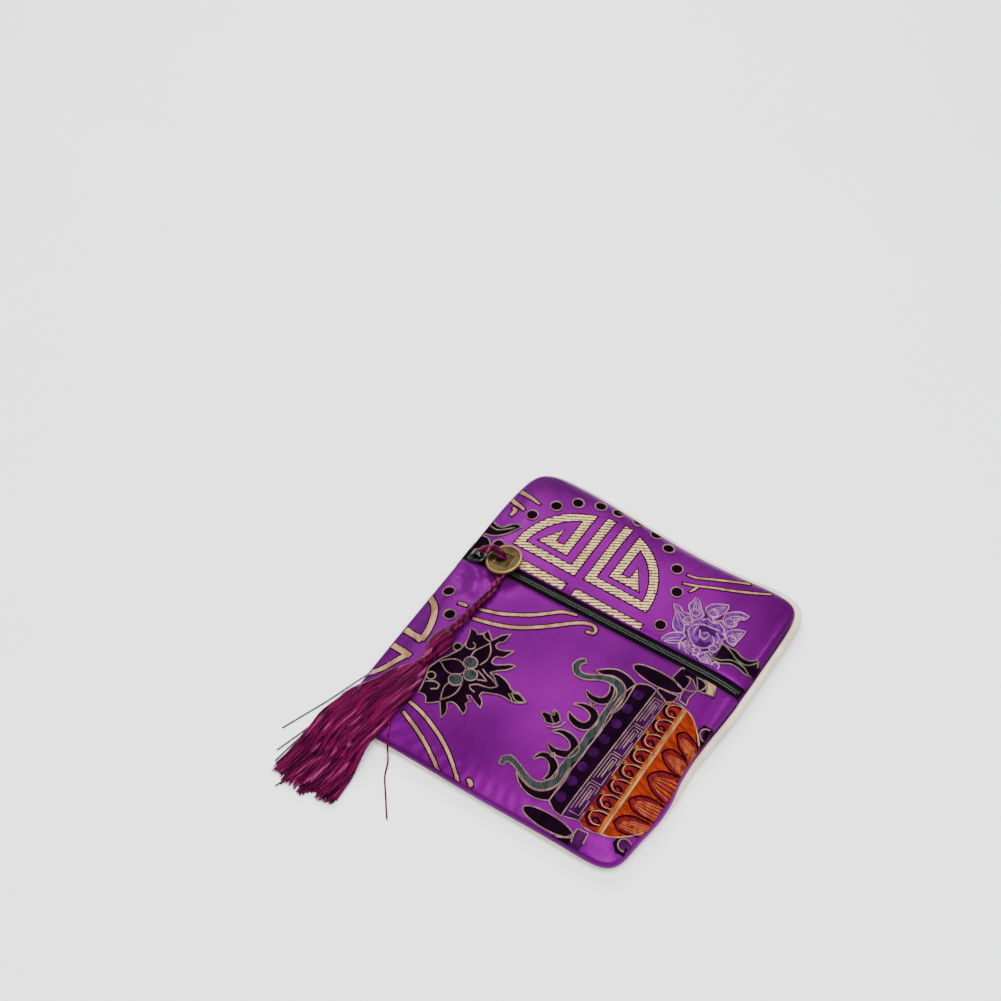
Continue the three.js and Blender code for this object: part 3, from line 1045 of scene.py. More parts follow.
    def as_panel(
        self, name: str, shape: bmesh.types.BMesh, material: bpy.types.Material, up: int
    ) -> bpy.types.Object:
        """Turns a cloth's outer side to up (1) or down (-1) and gives it its wall."""
        shape.faces.ensure_lookup_table()
        flattest = max(shape.faces, key=lambda face: abs(face.normal.z) * face.calc_area())
        if flattest.normal.z * up < 0:
            bmesh.ops.reverse_faces(shape, faces=shape.faces)
        panel = from_bmesh(name, shape, material, 80.0)
        wall = panel.modifiers.new("wall", "SOLIDIFY")
        wall.thickness = self.cloth * MM
        wall.offset = -1.0
        return panel

    def build(self) -> list[bpy.types.Object]:
        """Makes the three panels."""
        satin = SatinFinish().material()
        lower, upper, back = self.front(-1, satin), self.front(1, satin), self.back(satin)
        show(lower, "purple_brocade", "front_panel_lower")
        show(upper, "purple_brocade", "front_panel_upper")
        show(back, "purple_brocade", "back_panel")
        return [lower, upper, back]


# The brocade's figures

@dataclass(frozen=True)
class Patch:
    """A filled figure, by its outline in plan."""

    fill: Thread
    outline: Path
    rim: Thread | None = None
    layer: int = 1
    shadow: bool = False
    smooth: bool = True


@dataclass(frozen=True)
class Band:
    """A ribbon of thread of its own width, by its middle line."""

    fill: Thread
    line: Path
    widths: Sequence[float]
    rim: Thread | None = None
    layer: int = 1
    shadow: bool = False


@dataclass(frozen=True)
class Line:
    """A thin raised thread."""

    fill: Thread
    line: Path
    closed: bool = False
    corner: float = 52.0
    fine: bool = False


Figure = Patch | Band | Line


@dataclass
class BrocadeFigures:
    """Draws figures on the face: flat ones as low raised cloth, lines as threads."""

    form: PurseForm
    cell: float = 2.5
    lifts: tuple = (0.08, 0.16, 0.24, 0.31, 0.37)
    line_radius: float = 0.3
    fine_radius: float = 0.2
    line_lift: float = 0.24
    shadow_width: float = 0.45
    edge_limit: float = 0.992
    mouth_margin: float = 0.5
    patches: dict = field(default_factory=dict)
    lines: dict = field(default_factory=dict)

    def add(self, figures: Iterable[Figure]) -> None:
        """Adds figures to what is drawn."""
        for figure in figures:
            if isinstance(figure, Line):
                path = smooth_path(figure.line, 0.9, figure.closed, figure.corner)
                self.add_line(figure.fill, path, figure.closed, figure.fine)
                continue
            if isinstance(figure, Band):
                outline = ribbon(smooth_path(figure.line, 1.0), figure.widths)
            elif figure.smooth:
                outline = smooth_path(figure.outline, 1.0, True)
            else:
                outline = [Vector(point).to_3d() for point in figure.outline]
            if figure.shadow:
                self.add_patch(Thread.DARK, widened(outline, self.shadow_width), 0)
            self.add_patch(figure.fill, outline, figure.layer)
            if figure.rim:
                self.add_line(figure.rim, outline, True)

    def add_patch(self, fill: Thread, outline: Sequence[Vector], layer: int) -> None:
        """Cuts a flat outline to the face and drapes it."""
        upper = sum(spot.y for spot in outline) / len(outline) > self.form.zipper_level
        side = 1 if upper else -1
        shape = bmesh.new()
        face = shape.faces.new([shape.verts.new(spot) for spot in outline])
        face.normal_update()
        bmesh.ops.triangulate(shape, faces=[face], ngon_method="EAR_CLIP")
        bmesh.ops.dissolve_degenerate(shape, dist=1e-4, edges=shape.edges)
        self.cut_at_mouth(shape, side)
        for axis in (0, 1):
            if not shape.verts:
                break
            values = [vert.co[axis] for vert in shape.verts]
            first, last = math.ceil(min(values) / self.cell), math.floor(max(values) / self.cell)
            for k in range(first, last + 1):
                self.slice(shape, axis, k * self.cell)
        outside = set()
        for vert in shape.verts:
            flat = self.form.unsagged(vert.co.x, vert.co.y)
            reach = self.form.reach(flat.x, flat.y)
            if reach > 1.0:
                outside.add(vert)
                vert.co = self.form.plan(flat.x / reach, flat.y / reach)
            vert.co = self.form.on_face(vert.co.x, vert.co.y, self.lifts[layer])
        lost = [face for face in shape.faces if outside.issuperset(face.verts)]
        bmesh.ops.delete(shape, geom=lost, context="FACES")
        bmesh.ops.recalc_face_normals(shape, faces=shape.faces)
        for face in shape.faces:
            if face.normal.z < 0:
                face.normal_flip()
        part = bpy.data.meshes.new("part")
        shape.to_mesh(part)
        shape.free()
        self.patches.setdefault(fill, bmesh.new()).from_mesh(part)
        bpy.data.meshes.remove(part)

    def slice(self, shape: bmesh.types.BMesh, axis: int, value: float) -> None:
        """Cuts a flat shape along a grid line without taking any of it away."""
        normal = Vector((1, 0, 0)) if axis == 0 else Vector((0, 1, 0))
        bmesh.ops.bisect_plane(
            shape, geom=[*shape.verts, *shape.edges, *shape.faces], dist=1e-5,
            plane_co=normal * value, plane_no=normal,
        )

    def cut_at_mouth(self, shape: bmesh.types.BMesh, side: int) -> None:
        """Cuts away what would lie over the zipper, and past the seam."""
        form = self.form
        edge = form.zipper_level + side * (form.mouth / 2 + self.mouth_margin)
        limit_x, limit_y = form.half_width + 1.6, form.half_length + 1.6
        planes = (
            ((0, edge, 0), (-form.zipper_slant * side, side, 0)),
            ((-limit_x, 0, 0), (1, 0, 0)),
            ((limit_x - 1.6, 0, 0), (-1, 0, 0)),
            ((0, -limit_y, 0), (0, 1, 0)),
            ((0, limit_y - 1.6, 0), (0, -1, 0)),
        )
        for spot, normal in planes:
            bmesh.ops.bisect_plane(
                shape, geom=[*shape.verts, *shape.edges, *shape.faces], dist=1e-5,
                plane_co=spot, plane_no=normal, clear_inner=True,
            )

    def add_line(
        self, fill: Thread, path: Sequence[Vector], closed: bool, fine: bool = False
    ) -> None:
        """Drapes a line, in parts where it leaves the cloth."""
        form = self.form
        spots = [*path, path[0]] if closed else list(path)
        runs: list[list[Vector]] = [[]]
        for spot in spots:
            flat = form.unsagged(spot.x, spot.y)
            clear = abs(spot.y - form.zipper_y(spot.x)) > form.mouth / 2 + self.mouth_margin
            if clear and form.reach(flat.x, flat.y) < self.edge_limit:
                runs[-1].append(form.on_face(spot.x, spot.y, self.line_lift))
            elif runs[-1]:
                runs.append([])
        whole = closed and len(runs) == 1
        for run in runs:
            if len(run) > 1:
                self.lines.setdefault((fill, whole, fine), []).append(
                    run[:-1] if whole else run
                )

    def build(self) -> list[bpy.types.Object]:
        """Makes one piece for each thread's flat figures and one for its lines."""
        pieces = []
        for fill, shape in self.patches.items():
            piece = from_bmesh(f"figures_{fill.name.lower()}", shape, fill.material(), 60.0)
            wall = piece.modifiers.new("wall", "SOLIDIFY")
            wall.thickness = 0.3 * MM
            wall.offset = -1.0
            pieces.append(show(piece, "purple_brocade"))
        for (fill, closed, fine), runs in self.lines.items():
            kind = ("rings" if closed else "lines") + ("_fine" if fine else "")
            radius = self.fine_radius if fine else self.line_radius
            name = f"{kind}_{fill.name.lower()}"
            piece = thread_mesh(name, runs, radius, fill.material(), 1, closed)
            pieces.append(show(piece, "purple_brocade"))
        return pieces


@dataclass(frozen=True)
class FretRoundel:
    """The round fret figure over the zipper: two mirrored fans and level bars."""

    middle: float = -16.95
    centre: Point = (-17.0, 27.4)
    radius: float = 28.0
    bar: float = 3.1
    right_lift: float = 0.6

    def fan(self) -> list[Point]:
        """Returns the left fan: one bar bent into a spiral."""
        top = arc_path(self.centre, self.radius, 108.5, 178.5, 9)
        inner = arc_path(self.centre, self.radius - self.bar, 174.5, 118.8, 8)
        return [
            (-18.9, 55.6), (-22.0, 55.4), (-22.0, 29.8), *inner,
            (-28.9, 35.8), (-32.6, 35.8), (-32.7, 41.3), (-38.1, 32.8), (-25.9, 32.8),
            *top, (-44.8, 26.7), (-18.9, 26.7),
        ]

    def figures(self) -> list[Figure]:
        """Returns the roundel's figures."""
        left = self.fan()
        right = [(x, y + self.right_lift) for x, y in mirrored(left, self.middle, True)]
        bars = (
            ((-38.6, 18.0), (-19.3, 18.0), (-19.3, 22.1), (-38.6, 22.1)),
            ((-15.2, 18.0), (12.8, 18.0), (12.8, 22.1), (-15.2, 22.1)),
        )
        return [
            Patch(Thread.TWILL, outline, shadow=True, smooth=False)
            for outline in (left, right, *bars)
        ]


@dataclass(frozen=True)
class DotRings:
    """Small dark dots with a pale ring, strung round the roundel."""

    radius: float = 2.2
    places: tuple = (
        (-46.2, 41.2), (-40.9, 49.4), (-35, 55.2), (-27.4, 59), (-20.6, 60.3), (-12.7, 61.5),
        (-4.1, 59.9), (3.2, 56.4), (10.7, 49.6), (15.9, 40.7), (18.2, 25.4), (-49.5, 23.5),
        (-53.5, -2.8), (-47.2, -11.6),
    )

    def figures(self) -> list[Figure]:
        """Returns the dots."""
        return [
            Patch(Thread.DARK, ring_path(place, self.radius, self.radius), Thread.PALE)
            for place in self.places
        ]


@dataclass(frozen=True)
class GoldScrolls:
    """Long gold lines in pairs, with hooks at their ends."""

    slim: tuple = (0.75, 0.85, 0.85, 0.7)
    broad: tuple = (1.15, 1.25, 1.25, 1.15, 0.95)
    bar: tuple = (2.2, 2.3, 2.2)

    def figures(self) -> list[Figure]:
        """Returns the gold lines."""
        return [
            Band(Thread.GOLD, line, widths, shadow=True)
            for line, widths in (
                (((-58.5, 49.6), (-52, 48.3), (-46.4, 46.9)), (1.5, 1.5, 0.5)),
                (((-58.5, 44.6), (-54, 43.3), (-50.3, 41.9)), (1.5, 1.5, 1.0)),
                (((-54.6, 41.2), (-52.9, 40.5), (-53.4, 37.6)), (0.8, 1.8, 1.1)),
                ((
                    (15.0, 49.6), *FLOWER_CROP.read((410, 55), (560, 70), (700, 85), (830, 100)),
                ), self.slim),
                ((
                    (15.6, 45.4), *FLOWER_CROP.read((400, 115), (560, 135), (700, 155),
                    (850, 170), (990, 180)),
                ), self.slim),
                ((
                    (21.0, 47.2), *FLOWER_CROP.read((400, 150), (370, 165)),
                ), (0.8, 0.9, 0.4)),
                (((-47.5, -5.7), (-45.5, -5.4), (-43.8, -5.3)), (1.0, 1.5, 0.9)),
                ((
                    *LOTUS_CROP.read((740, 85), (850, 110), (960, 130), (1100, 140), (1250, 140),
                    (1400, 125)), (-14.0, 11.0), (-8.8, 12.9),
                ), self.broad),
                ((
                    *LOTUS_CROP.read((680, 170), (760, 195), (870, 225), (1000, 250), (1130, 260),
                    (1300, 255), (1500, 235)), (-8, 9.2), (-4, 11.7), (-1.2, 12.1), (0.4, 10.8),
                    (0.2, 9.2), (-2.4, 8.6),
                ),
                 (1.25, 1.3, 1.3, 1.25, 1.2, 1.2, 1.0)),
                ((
                    *LOTUS_CROP.read((85, 950), (190, 1040), (290, 1160), (380, 1290)),
                    (-16.6, -58.1), (-12, -61.5), (-6.8, -66),
                ), self.broad),
                (((-38.4, -53.6), (-30.5, -56.8), (-22.6, -60.9), (-14.6, -66)), self.broad),
                (((-5.4, -62.7), (-4, -63.2), (-2.8, -64.4)), (1.0, 1.8, 1.1)),
                ((
                    (-59, -7.4), (-54.3, -10.9), *LOTUS_CROP.read((310, 170), (270, 270)),
                    (-49.7, -25.9),
                ),
                 self.bar),
                (((-59, -24.2), (-54, -25.0), (-49.5, -25.9)), self.bar),
                (((-59, -32), (-55, -32.6), (-49.2, -33.6)), self.bar),
                (((-50.4, -33.5), (-52.4, -37), (-54.8, -42), (-58.6, -46.8)), (2.1, 1.9, 1.6)),
            )
        ]


@dataclass(frozen=True)
class ThornyLotus:
    """A dark lotus seen from the side, all thorns and hooks, with a spear."""

    outline: tuple = LOTUS_CROP.read(
        (1190, 965), (1130, 900), (1110, 870), (1060, 860), (1010, 780), (950, 720), (900, 695),
        (865, 703), (845, 685), (920, 665), (1000, 660), (1085, 628), (1050, 610), (950, 612),
        (890, 612), (858, 590), (875, 555), (905, 535), (940, 540), (965, 545), (1010, 520),
        (1070, 485), (1020, 480), (960, 480), (905, 455), (895, 430), (930, 405), (970, 400),
        (1000, 370), (1045, 325), (960, 335), (900, 365), (860, 385), (850, 350), (830, 290),
        (780, 320), (730, 325), (715, 295), (665, 265), (660, 290), (650, 330), (620, 400),
        (590, 440), (540, 480), (500, 500), (440, 530), (390, 550), (320, 600), (270, 640),
        (250, 700), (215, 790), (170, 870), (225, 890), (245, 910), (235, 965), (310, 965),
        (375, 955), (380, 1110), (430, 1060), (440, 970), (480, 960), (520, 980), (590, 1080),
        (625, 1020), (610, 980), (640, 960), (655, 960), (625, 900), (660, 900), (700, 960),
        (755, 1020), (770, 960), (745, 900), (770, 870), (850, 880), (960, 905), (1050, 960),
        (1110, 970)
    )
    veins: tuple = (
        LOTUS_CROP.read(
            (665, 530), (700, 482), (765, 448), (845, 410), (852, 480), (822, 560), (745, 615)
        ),
        LOTUS_CROP.read(
            (780, 320), (798, 360), (850, 400)
        ),
        LOTUS_CROP.read(
            (620, 400), (615, 440), (650, 465), (700, 455), (708, 425), (685, 400)
        ),
        LOTUS_CROP.read(
            (380, 940), (395, 870), (430, 800), (470, 775)
        ),
        LOTUS_CROP.read(
            (380, 940), (460, 915), (530, 870), (580, 790)
        ),
        LOTUS_CROP.read(
            (730, 665), (770, 710), (815, 765), (720, 750)
        ),
        LOTUS_CROP.read(
            (775, 650), (800, 690), (860, 745), (915, 815), (850, 828), (780, 812), (720, 795),
            (650, 805), (655, 830), (700, 870)
        ),
        LOTUS_CROP.read(
            (845, 685), (885, 735), (915, 812)
        ),
        LOTUS_CROP.read(
            (1020, 880), (1050, 950)
        ),
        LOTUS_CROP.read(
            (240, 765), (330, 770), (372, 800), (350, 835), (285, 838)
        ),
    )
    spear: tuple = LOTUS_CROP.read(
        (1045, 878), (1110, 885), (1178, 965), (1090, 950)
    )
    leaf: tuple = LOTUS_CROP.read(
        (372, 578), (450, 560), (540, 562), (590, 600), (612, 650), (590, 690), (540, 700),
        (470, 692), (420, 650), (395, 605)
    )
    lobes: tuple = LOTUS_CROP.read(
        (665, 590), (660, 705), (520, 750)
    )
    eyes: tuple = LOTUS_CROP.read(
        (540, 440), (292, 712)
    )

    def figures(self) -> list[Figure]:
        """Returns the lotus."""
        return [
            Patch(Thread.DARK, self.outline, Thread.PALE),
            *[Line(Thread.PALE, vein) for vein in self.veins],
            Line(Thread.GREEN, self.spear, True),
            Patch(Thread.DARK, self.leaf, Thread.PALE, 2),
            *[Patch(Thread.SLATE, ring_path(lobe, 2.5, 2.4), Thread.PALE, 3)
              for lobe in self.lobes],
            *[Patch(Thread.DARK, ring_path(eye, 1.6, 1.6), Thread.GREEN, 2)
              for eye in self.eyes],
        ]


@dataclass(frozen=True)
class ScrollCrest:
    """The slate crest beside the burner: a curl at each end and four dark open rings."""

    slate: tuple = (
        (4.2, -1.9), (2.7, -3.0), (2.2, -5.4), (4.0, -7.5), (7.1, -7.6), (11.4, -5.3),
        (15.7, -3.8), (19.4, -4.5), (21.2, -7.6), (21.6, -11.2), (21.6, -14.6), (21.8, -18.6),
        (21.9, -22.6), (21.6, -26.4), (21.6, -30.6), (21.6, -34.8), (21.2, -38.6), (20.9, -42.6),
        (20.9, -46.0), (20.1, -49.4), (18.2, -51.9), *BURNER_CROP.read((280, 905)), (12.9, -52.7),
        *BURNER_CROP.read((200, 830)), (6.0, -49.9), (2.9, -49.2), (1.4, -50.5), (1.8, -52.6),
    )
    widths: tuple = (
        1.7, 2.6, 2.5, 2.2, 2.1, 2.4, 2.9, 3.4, 3.9, 3.6, 3.2, 3.6, 3.0, 3.6, 3.6, 3.0, 3.6,
        3.8, 3.8, 3.6, 3.3, 2.9, 2.6, 2.3, 2.0, 2.1, 2.6, 1.7,
    )
    shells: tuple = (
        (
            (8.9, -3.4), *BURNER_CROP.read((740, 183), (800, 190), (850, 215), (890, 250),
            (912, 282)), (23.7, -14.0), (22.6, -15.5), (23.1, -9.4), (22.3, -4.9), (19.4, -2.4),
            (15.5, -2.0), (11.8, -3.6),
        ),
        (
            (7.5, -52.2), *BURNER_CROP.read((180, 890), (220, 950), (270, 985), (320, 1000),
            (368, 1005)), (23.0, -42.4), (22.0, -40.8), (22.4, -46.2), (21.8, -50.4),
            (18.9, -53.6), (15.6, -54.6), (12.3, -54.2),
        ),
    )
    rings: tuple = (
        (((16.8, -5.4), (18.8, -7.6), (19.0, -10.6), (17.4, -12.8), (14.8, -13.5), (12.4, -13.2),
          (10.6, -12.0)), (1.0, 2.8, 3.2, 3.0, 2.6, 2.0, 0.6)),
        ((
            (10.0, -19.1), *BURNER_CROP.read((570, 408)), (14.9, -17.7), (17.6, -18.5),
            (19.1, -20.6), (19.0, -22.9), (17.6, -24.8), (15.2, -25.3),
            *BURNER_CROP.read((510, 492)), (10.3, -22.8),
        ),
         (0.5, 1.7, 2.4, 2.9, 3.2, 3.3, 3.1, 2.8, 2.1, 0.6)),
        (((9.7, -32.6), (11.9, -31.1), (15.1, -30.9), (17.9, -32.0), (19.7, -34.4),
          (19.0, -37.0), (16.0, -38.4), (13.5, -38.5), (10.7, -37.2)),
         (0.5, 1.8, 2.6, 3.0, 3.3, 3.1, 2.8, 2.1, 0.6)),
        (((10.1, -45.0), (10.9, -42.8), (12.6, -41.7), (15.4, -42.2), (17.5, -44.0),
          (18.5, -46.9), (17.3, -49.6)), (0.6, 2.0, 2.6, 3.0, 3.2, 2.9, 1.0)),
    )
    notches: tuple = (
        ((23.9, -12.5), (22.4, -16.6), (23.6, -20.8)),
        ((23.6, -24.8), (22.2, -28.4), (23.3, -32.0)),
        ((23.3, -36.4), (22.0, -39.8), (23.0, -43.2)),
    )
    bed: tuple = (
        (23.9, -1.0), (22.8, -55.0), (21.0, -50.0), (21.3, -44.0), (22.2, -30.0), (22.2, -8.0),
    )
    bud: tuple = BURNER_CROP.read(
        (318, 460), (345, 452), (380, 470), (400, 440), (425, 455), (440, 510), (400, 530),
        (350, 520), (340, 500)
    )
    stalk: tuple = ((6.8, -31.9), (8.9, -31.0), (10.8, -29.2), (11.2, -26.9))
    loops: tuple = ((15.3, -15.3), (14.7, -40.2))

    def figures(self) -> list[Figure]:
        """Returns the crest."""
        return [
            *[Patch(Thread.DARK, shell, Thread.PALE) for shell in self.shells],
            Patch(Thread.DARK, self.bed),
            *[Band(Thread.DARK, line, widths, Thread.PALE) for line, widths in self.rings],
            Band(Thread.SLATE, self.slate, self.widths, Thread.PALE, 2),
            *[Patch(Thread.DARK, notch, None, 3) for notch in self.notches],
            Patch(Thread.DARK, self.bud, Thread.PALE),
            Line(Thread.GREEN, (
                *BURNER_CROP.read((400, 440)), (6.6, -26.4), (5.9, -27.6), (7.2, -28.6),
                *BURNER_CROP.read((400, 530)),
            )),
            Line(Thread.PALE, self.stalk),
            *[Line(Thread.PALE, ring_path(loop, 0.9, 0.8, 8), True) for loop in self.loops],
        ]


@dataclass(frozen=True)
class Burner:
    """The burner: beads, fret, scrolls and a bowl of petals, in upright bands."""

    bead_band: tuple = (
        *BURNER_CROP.read((912, 282)), (26, 1.1), (28.9, 1.8), *BURNER_CROP.read((1040, 320)),
        (30.2, -28.5), *BURNER_CROP.read((445, 1100)), (26.2, -57.4),
        *BURNER_CROP.read((368, 1005), (640, 640)),
    )
    beads: tuple = (
        (26.7, -3.7), (26.4, -10.5), *BURNER_CROP.read((790, 525), (715, 620)), (25.6, -31.7),
        (25.6, -38.4), (25.5, -45.0), (25.4, -52.0),
    )
    fret_band: tuple = (
        *BURNER_CROP.read((1040, 320), (1100, 395)), (35.8, -28.5), *BURNER_CROP.read((555, 1130),
        (445, 1100)), (30.2, -28.5),
    )
    scroll_band: tuple = (
        *BURNER_CROP.read((1100, 395)), (38.1, 0.5), (41.0, 1.0), *BURNER_CROP.read((1225, 440)),
        (43.8, -28.5), *BURNER_CROP.read((690, 1215), (640, 1205), (580, 1170), (555, 1130)),
        (35.8, -28.5),
    )
    bowl: tuple = (
        *BURNER_CROP.read((1225, 440), (1260, 480), (1290, 560), (1305, 640), (1312, 720)),
        (57.4, -14.0), (58.2, -28.0), (58.2, -42.0), (56.4, -44.2), *BURNER_CROP.read((940, 1210),
        (850, 1225), (750, 1232), (690, 1215)), (43.8, -28.5),
    )
    petals: tuple = (
        (
            *BURNER_CROP.read((1165, 590), (1210, 578)), (50.1, -7.4), (53.1, -8.6),
            (56.4, -11.4), (57.6, -15.8), *BURNER_CROP.read((1215, 730), (1180, 670)),
        ),
        (
            *BURNER_CROP.read((1075, 705), (1110, 683), (1155, 692)), (52.0, -15.8),
            (57.6, -17.0), (58.0, -21.6), (54.3, -22.4), (50.2, -22.3), (47.0, -20.6),
        ),
        (
            (46.0, -29.6), (46.4, -27.4), *BURNER_CROP.read((1080, 823)), (52.7, -23.3),
            (58.0, -23.0), (58.2, -33.4), (53.6, -33.6), (49.4, -32.6),
        ),
        (
            (45.2, -40.6), (45.9, -38.8), *BURNER_CROP.read((940, 975), (1010, 992)),
            (58.2, -34.8), (58.0, -41.6), (52.1, -42.6), *BURNER_CROP.read((890, 1060)),
        ),
        ((45.4, -50.2), (45.9, -47.7), (47.8, -45.5), (51.2, -44.0), (57.4, -43.0),
         (55.4, -48.6), (51.6, -50.9), (48.2, -51.9)),
    )
    fret_units: int = 4
    scroll_units: int = 8
    level_top: float = 0.0
    level_foot: float = -56.5

    def edge(self, share: float, level: float) -> Point:
        """Returns a place between the fret's inner side (0), its outer (1) and the bowl (2)."""
        down = (self.level_top - level) / (self.level_top - self.level_foot)
        inner, outer, bowl = 31.0 - 1.8 * down, 36.3 - 1.1 * down, 43.7 + 0.3 * down
        x = lerp(inner, outer, share) if share <= 1 else lerp(outer, bowl, share - 1)
        return x, level

    def fret(self) -> list[Figure]:
        """Returns the fret band: nested hooks that face up and down in turn."""
        figures: list[Figure] = [Patch(Thread.NIGHT, self.fret_band, Thread.PALE, smooth=False)]
        height = (self.level_top - self.level_foot - 2.4) / self.fret_units
        for unit in range(self.fret_units):
            top = self.level_top - 1.6 - unit * height
            for nest in range(3):
                near, far = 0.2 + 0.19 * nest, 0.88 - 0.17 * nest
                upper, lower = top - 1.1 * nest, top - height + 2.0
                hook = [
                    self.edge(near, lower + 0.8 * nest), self.edge(near, upper),
                    self.edge(far, upper), self.edge(far, upper - 3.2 - 2.0 * nest),
                ]
                figures.append(Line(Thread.PALE, hook, corner=20.0, fine=True))
            foot = top - height + 1.0
            tie = [self.edge(0.2, foot), self.edge(0.86, foot), self.edge(0.86, foot + 6.4)]
            figures.append(Line(Thread.PALE, tie, corner=20.0, fine=True))
        return figures

    def scrolls(self) -> list[Figure]:
        """Returns the band of scrolls and its gold edges."""
        figures: list[Figure] = [
            Patch(Thread.RED, self.scroll_band, Thread.PALE, smooth=False),
        ]
        side = [self.edge(1.93, level) for level in (0.2, -14, -28, -42, -56.4)]
        figures.append(Band(Thread.AMBER, side, (1.7, 1.7), None, 2))
        figures.append(Line(Thread.GOLD, [(x + 0.9, y) for x, y in side], fine=True))
        height = (self.level_top - self.level_foot) / self.scroll_units
        shape = (
            (1.8, 3.3), (1.4, 2.9), (1.12, 1.4), (1.14, -0.8), (1.4, -2.3), (1.68, -1.7),
            (1.72, 0.0), (1.54, 0.9), (1.38, 0.2), (1.46, -0.7),
        )
        for unit in range(self.scroll_units):
            middle = self.level_top - (unit + 0.5) * height
            scroll = [self.edge(u, middle + v) for u, v in shape]
            shine = [self.edge(u + 0.1, middle + v + 0.7) for u, v in shape[:6]]
            leaf = [self.edge(u, middle + v) for u, v in ((1.06, 3.4), (1.2, 3.0), (1.1, 1.2))]
            figures += [
                Band(Thread.DARK, scroll, (0.5, 0.9, 0.9, 0.6), None, 3),
                Line(Thread.GOLD, shine, fine=True),
                Band(Thread.AMBER, leaf, (0.9, 1.2, 0.4), None, 2),
            ]
        return figures

    def bowl_figures(self) -> list[Figure]:
        """Returns the bowl: an orange ground under five striped petals."""
        figures: list[Figure] = [Patch(Thread.ORANGE, self.bowl, Thread.GOLD)]
        for petal in self.petals:
            figures.append(Patch(Thread.RED, petal, Thread.DARK, 2))
            tip = Vector(petal[0])
            upper, lower = Vector(petal[4]), Vector(petal[5])
            for share in (0.12, 0.3, 0.5, 0.7, 0.88):
                end = upper.lerp(lower, share)
                bend = tip.lerp(end, 0.45) + Vector((0.0, (0.5 - share) * 2.4))
                line = (tuple(tip.lerp(bend, 0.45)), tuple(bend), tuple(end))
                thread = Thread.AMBER if share in (0.3, 0.7) else Thread.ROSE
                figures.append(Band(thread, line, (0.2, 0.75, 0.5), None, 3))
        return figures

    def trim(self) -> list[Figure]:
        """Returns the ears, necks, the gold leaf and the open rings."""
        return [
            Patch(Thread.DARK, (
                *BURNER_CROP.read((1140, 238)), (33.7, 14.4), (44.0, 15.0),
                *BURNER_CROP.read((1345, 300), (1300, 325)), (38.0, 7.0),
            ), Thread.PALE),
            Patch(Thread.DARK, ring_path((29.0, 5.7), 10.0, 2.9), Thread.PALE, 2),
            Patch(Thread.DARK, ring_path((26.3, -61.6), 10.0, 2.6), Thread.PALE, 2),
            Patch(Thread.DARK, (
                (31.1, 1.4), (36.4, -0.9), *BURNER_CROP.read((1140, 390)), (38.6, 3.6),
                *BURNER_CROP.read((1120, 330), (1060, 300)),
            ), Thread.PALE),
            Patch(Thread.PURPLE, BURNER_CROP.read(
                (1225, 230), (1245, 235), (1250, 260), (1230, 295), (1200, 330), (1182, 380),
                (1225, 412), (1245, 365), (1288, 322), (1280, 280), (1265, 250)
            ), Thread.PALE, 3),
            Patch(Thread.DARK, (
                *BURNER_CROP.read((355, 1215)), (34.2, -63.2), (36.2, -60.6),
                *BURNER_CROP.read((488, 1300)), (36.0, -67.0), (29.0, -67.0),
            ), Thread.PALE),
            Patch(Thread.PURPLE, (
                (36.4, -58.7), (40.4, -58.3), *BURNER_CROP.read((580, 1280)), (40.5, -67.0),
                (37.0, -67.0), *BURNER_CROP.read((500, 1248)),
            ), Thread.PALE, 3, smooth=False),
            Patch(Thread.DARK, (
                *BURNER_CROP.read((1292, 235)), (42.6, 13.9), (44.6, 12.6),
                *BURNER_CROP.read((1350, 340), (1300, 325)),
            ), Thread.GREEN, 2),
            Patch(Thread.GOLD, ((42.9, 14.4), (47.4, 15.2), (48.6, 10.6), (46.0, 9.9),
                                (45.0, 12.4)), Thread.GREEN, 3, True),
            Patch(Thread.DARK, ((51.4, -0.4), (51.0, -4.6), (52.4, -7.6), (56.6, -11.4),
                                (57.4, -4.6), (55.2, -0.2)), None),
            Patch(Thread.PURPLE, ring_path((54.2, -3.4), 2.4, 2.4), Thread.PALE, 2),
            Patch(Thread.DARK, ((49.6, -52.6), (48.9, -56.4), (51.4, -58.8), (54.4, -58.2),
                                (53.4, -52.4)), None),
            Patch(Thread.PURPLE, ring_path((52.6, -54.9), 2.3, 2.3), Thread.PALE, 2),
            Line(Thread.PALE, (
                *BURNER_CROP.read((945, 1250)), (56.3, -48.2), (57.4, -49.3),
            )),
        ]

    def figures(self) -> list[Figure]:
        """Returns the whole burner."""
        return [
            *self.trim(),
            Patch(Thread.DARK, self.bead_band, Thread.PALE),
            *[Patch(Thread.NIGHT, ring_path(bead, 2.0, 2.0), None, 2) for bead in self.beads],
            *self.fret(), *self.scrolls(), *self.bowl_figures(),
        ]


